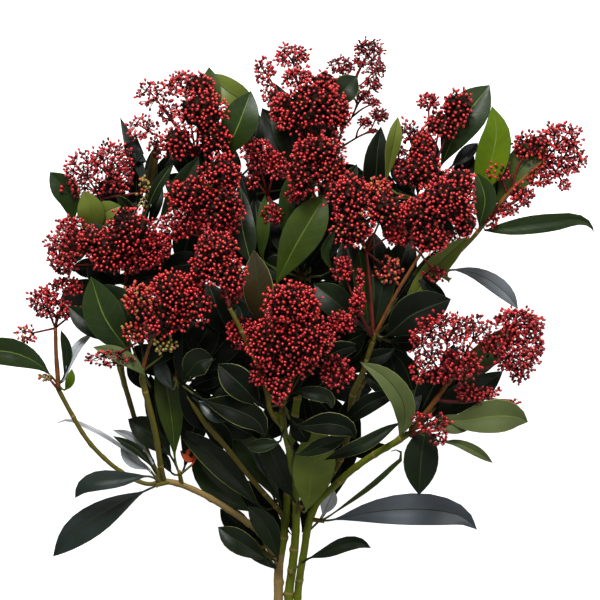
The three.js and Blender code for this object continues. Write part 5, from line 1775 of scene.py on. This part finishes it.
LEAF_FINISHES = (
    BladeFinish("leaf_dark", srgb(23, 35, 14), srgb(15, 25, 10), srgb(42, 58, 26), 0.4, specular=0.2),
    # Painted shade: near-black for leaves that lie in the shaded depth of the bunch.
    BladeFinish("leaf_black", srgb(14, 21, 10), srgb(9, 14, 7), srgb(26, 36, 18), 0.46, specular=0.1),
    # Painted reflection: a dark glossy leaf's grey-blue where it mirrors the white studio light.
    BladeFinish("leaf_slate_painted_sheen", srgb(76, 84, 92), srgb(56, 64, 72), srgb(96, 104, 110), 0.4, coat=0.25),
    BladeFinish("leaf_deep", srgb(38, 56, 16), srgb(26, 42, 12), srgb(64, 86, 36), 0.36, specular=0.25),
    BladeFinish("leaf_green", srgb(62, 78, 20), srgb(44, 60, 15), srgb(88, 108, 42), 0.4, specular=0.25),
    BladeFinish("leaf_olive", srgb(106, 118, 44), srgb(86, 101, 36), srgb(124, 138, 60), 0.42, specular=0.25),
    BladeFinish("leaf_bright", srgb(86, 108, 3), srgb(62, 86, 3), srgb(118, 140, 34), 0.45, specular=0.15),
    BladeFinish("leaf_pale", srgb(88, 99, 56), srgb(72, 84, 44), srgb(106, 117, 72), 0.5, specular=0.2),
    BladeFinish("leaf_bronze", srgb(60, 45, 20), srgb(42, 38, 16), srgb(98, 80, 40), 0.45, specular=0.2),
    # Painted reflection: the pale grey-white of curled glossy leaves that mirror the white surroundings.
    BladeFinish("leaf_silver_painted_sheen", srgb(196, 198, 204), srgb(150, 158, 160), srgb(206, 208, 212), 0.4),
    BladeFinish("leaf_rust", srgb(196, 72, 26), srgb(160, 54, 20), srgb(204, 100, 50), 0.55, specular=0.25),
    # Dark green with a painted bluish-grey sheen.
    BladeFinish("leaf_dusk_painted_sheen", srgb(38, 50, 46), srgb(24, 35, 30), srgb(60, 72, 66), 0.36, coat=0.2, specular=0.4),
    BladeFinish("leaf_back", srgb(70, 88, 40), srgb(58, 76, 34), srgb(96, 114, 58), 0.5, specular=0.25),
    CloudedFinish("rib_dim", srgb(42, 58, 26), srgb(32, 46, 20), 0.45, 90.0, specular=0.25),
    CloudedFinish("rib_light", srgb(104, 124, 50), srgb(82, 104, 38), 0.45, 90.0, specular=0.25),
    CloudedFinish("rim_green", srgb(56, 74, 30), srgb(42, 58, 22), 0.45, 90.0, specular=0.25),
    # Pale margin: partly the leaf's own edge colour, partly a painted highlight where the edge catches the light.
    CloudedFinish("rim_cream_and_highlight", srgb(150, 152, 88), srgb(116, 124, 62), 0.5, 90.0, specular=0.25),
    CloudedFinish("leaf_stalk", srgb(84, 88, 34), srgb(68, 60, 28), 0.5, 90.0, specular=0.25),
    # Painted reflection: a lighter grey-blue where a glossy leaf mirrors the white studio light.
    BladeFinish("leaf_steel_painted_sheen", srgb(112, 120, 126), srgb(66, 78, 78), srgb(128, 134, 140), 0.36, coat=0.3),
)

BUD_FINISHES = (
    CloudedFinish("bud_bright", srgb(228, 42, 46), srgb(206, 32, 38), 0.32, 300.0, coat=0.35, specular=0.8),
    CloudedFinish("bud_red", srgb(188, 27, 33), srgb(164, 19, 26), 0.32, 300.0, coat=0.3, specular=0.7),
    CloudedFinish("bud_deep", srgb(118, 16, 21), srgb(90, 11, 16), 0.4, 300.0, coat=0.1, specular=0.3),
    # Painted shade: the near-black brown of the buds and core balls deep inside a head.
    CloudedFinish("bud_shade", srgb(46, 25, 15), srgb(25, 17, 10), 0.6, 300.0, specular=0.1),
    CloudedFinish("bud_orange", srgb(214, 108, 66), srgb(194, 80, 52), 0.36, 300.0, coat=0.2),
    CloudedFinish("bud_straw", srgb(164, 150, 78), srgb(136, 118, 58), 0.4, 300.0),
    CloudedFinish("bud_brown", srgb(138, 46, 46), srgb(104, 32, 34), 0.42, 300.0, specular=0.3),
)

STALK_FINISHES = (
    CloudedFinish("stalk_maroon", srgb(50, 16, 18), srgb(32, 12, 13), 0.5, 200.0, specular=0.15),
    CloudedFinish("stalk_red", srgb(112, 32, 26), srgb(84, 24, 20), 0.45, 120.0, specular=0.3),
    CloudedFinish("stalk_orange", srgb(120, 72, 28), srgb(96, 56, 24), 0.45, 120.0, specular=0.3),
)

STEM_FINISHES = (
    BarkFinish("bark_green", srgb(116, 130, 24), srgb(88, 94, 22), srgb(150, 140, 72), 0.5),
    BarkFinish("bark_tan", srgb(164, 140, 86), srgb(128, 102, 58), srgb(188, 168, 118), 0.7, 0.9),
    CloudedFinish("bud_scale", srgb(112, 58, 34), srgb(84, 40, 24), 0.5, 150.0),
    BarkFinish("bark_olive", srgb(112, 106, 36), srgb(84, 72, 28), srgb(138, 116, 64), 0.5),
)

LEAF_PIECES = {
    "leaves_left_side": ("leaves_left_front", "leaves_left_tall", "leaves_far_left", "leaves_left_back",
                         "leaves_low_left", "leaves_low_upright"),
    "leaves_middle": ("leaves_centre", "leaves_inner_left", "leaves_low_foot", "leaves_low_centre",
                      "leaves_low_middle", "leaves_foot_front", "leaves_under_centre"),
    "leaves_right_side": ("leaves_right_centre", "leaves_right", "leaves_far_right",
                          "leaves_far_right_side", "leaves_low_right"),
    "leaves_top_side": ("leaves_back_right", "leaves_back_middle", "leaves_back_top", "leaves_back_left"),
}

HEAD_GROUPS = {
    "left": ("bloom_left_front", "bloom_left", "bloom_far_left", "bloom_left_top", "bloom_under_left"),
    "upper_left": ("bloom_upper_left", "bloom_top_left", "bloom_centre_left", "bloom_small_centre"),
    "centre": ("bloom_centre", "bloom_inner_right", "bloom_under_centre", "bloom_centre_right"),
    "top": ("bloom_top", "bloom_upper_centre", "bloom_top_right", "bloom_under_top"),
    "upper_right": ("bloom_right_top", "bloom_right_upper", "bloom_far_right", "bloom_under_right"),
    "right": ("bloom_right", "bloom_right_outer", "bloom_right_front"),
}


def build_bunch() -> None:
    """Build every piece of the bunch in order."""
    effects = Effects()
    stems = Stems()
    bark = [finish.build(effects) for finish in STEM_FINISHES]
    green = [limb for limb in LIMBS if limb.bark is not Bark.TAN]
    tan = [limb for limb in LIMBS if limb.bark is Bark.TAN]
    finish_piece(stems.build("green_stems", green, WHORLS, bark), [limb.name for limb in green])
    finish_piece(stems.build("tan_bough", tan, (), bark), [limb.name for limb in tan])
    foliage = Foliage()
    blades = [finish.build(effects) for finish in LEAF_FINISHES]
    for name, members in LEAF_PIECES.items():
        whorls = [whorl for whorl in WHORLS if whorl.name in members]
        finish_piece(foliage.build(name, whorls, blades), members)
    flowers = FlowerHeads()
    bud_looks = [finish.build(effects) for finish in BUD_FINISHES]
    stalk_looks = [finish.build(effects) for finish in STALK_FINISHES]
    for name, members in HEAD_GROUPS.items():
        heads = [head for head in HEADS if head.name in members]
        for piece in flowers.build(name, heads, bud_looks, stalk_looks):
            finish_piece(piece, members)


def main() -> None:
    """Load the frame, build the bunch and its studio, and note the sizes."""
    logging.basicConfig(level=logging.INFO, format="%(name)s: %(message)s")
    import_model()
    build_bunch()
    Studio().build()


if __name__ == "__main__":
    main()
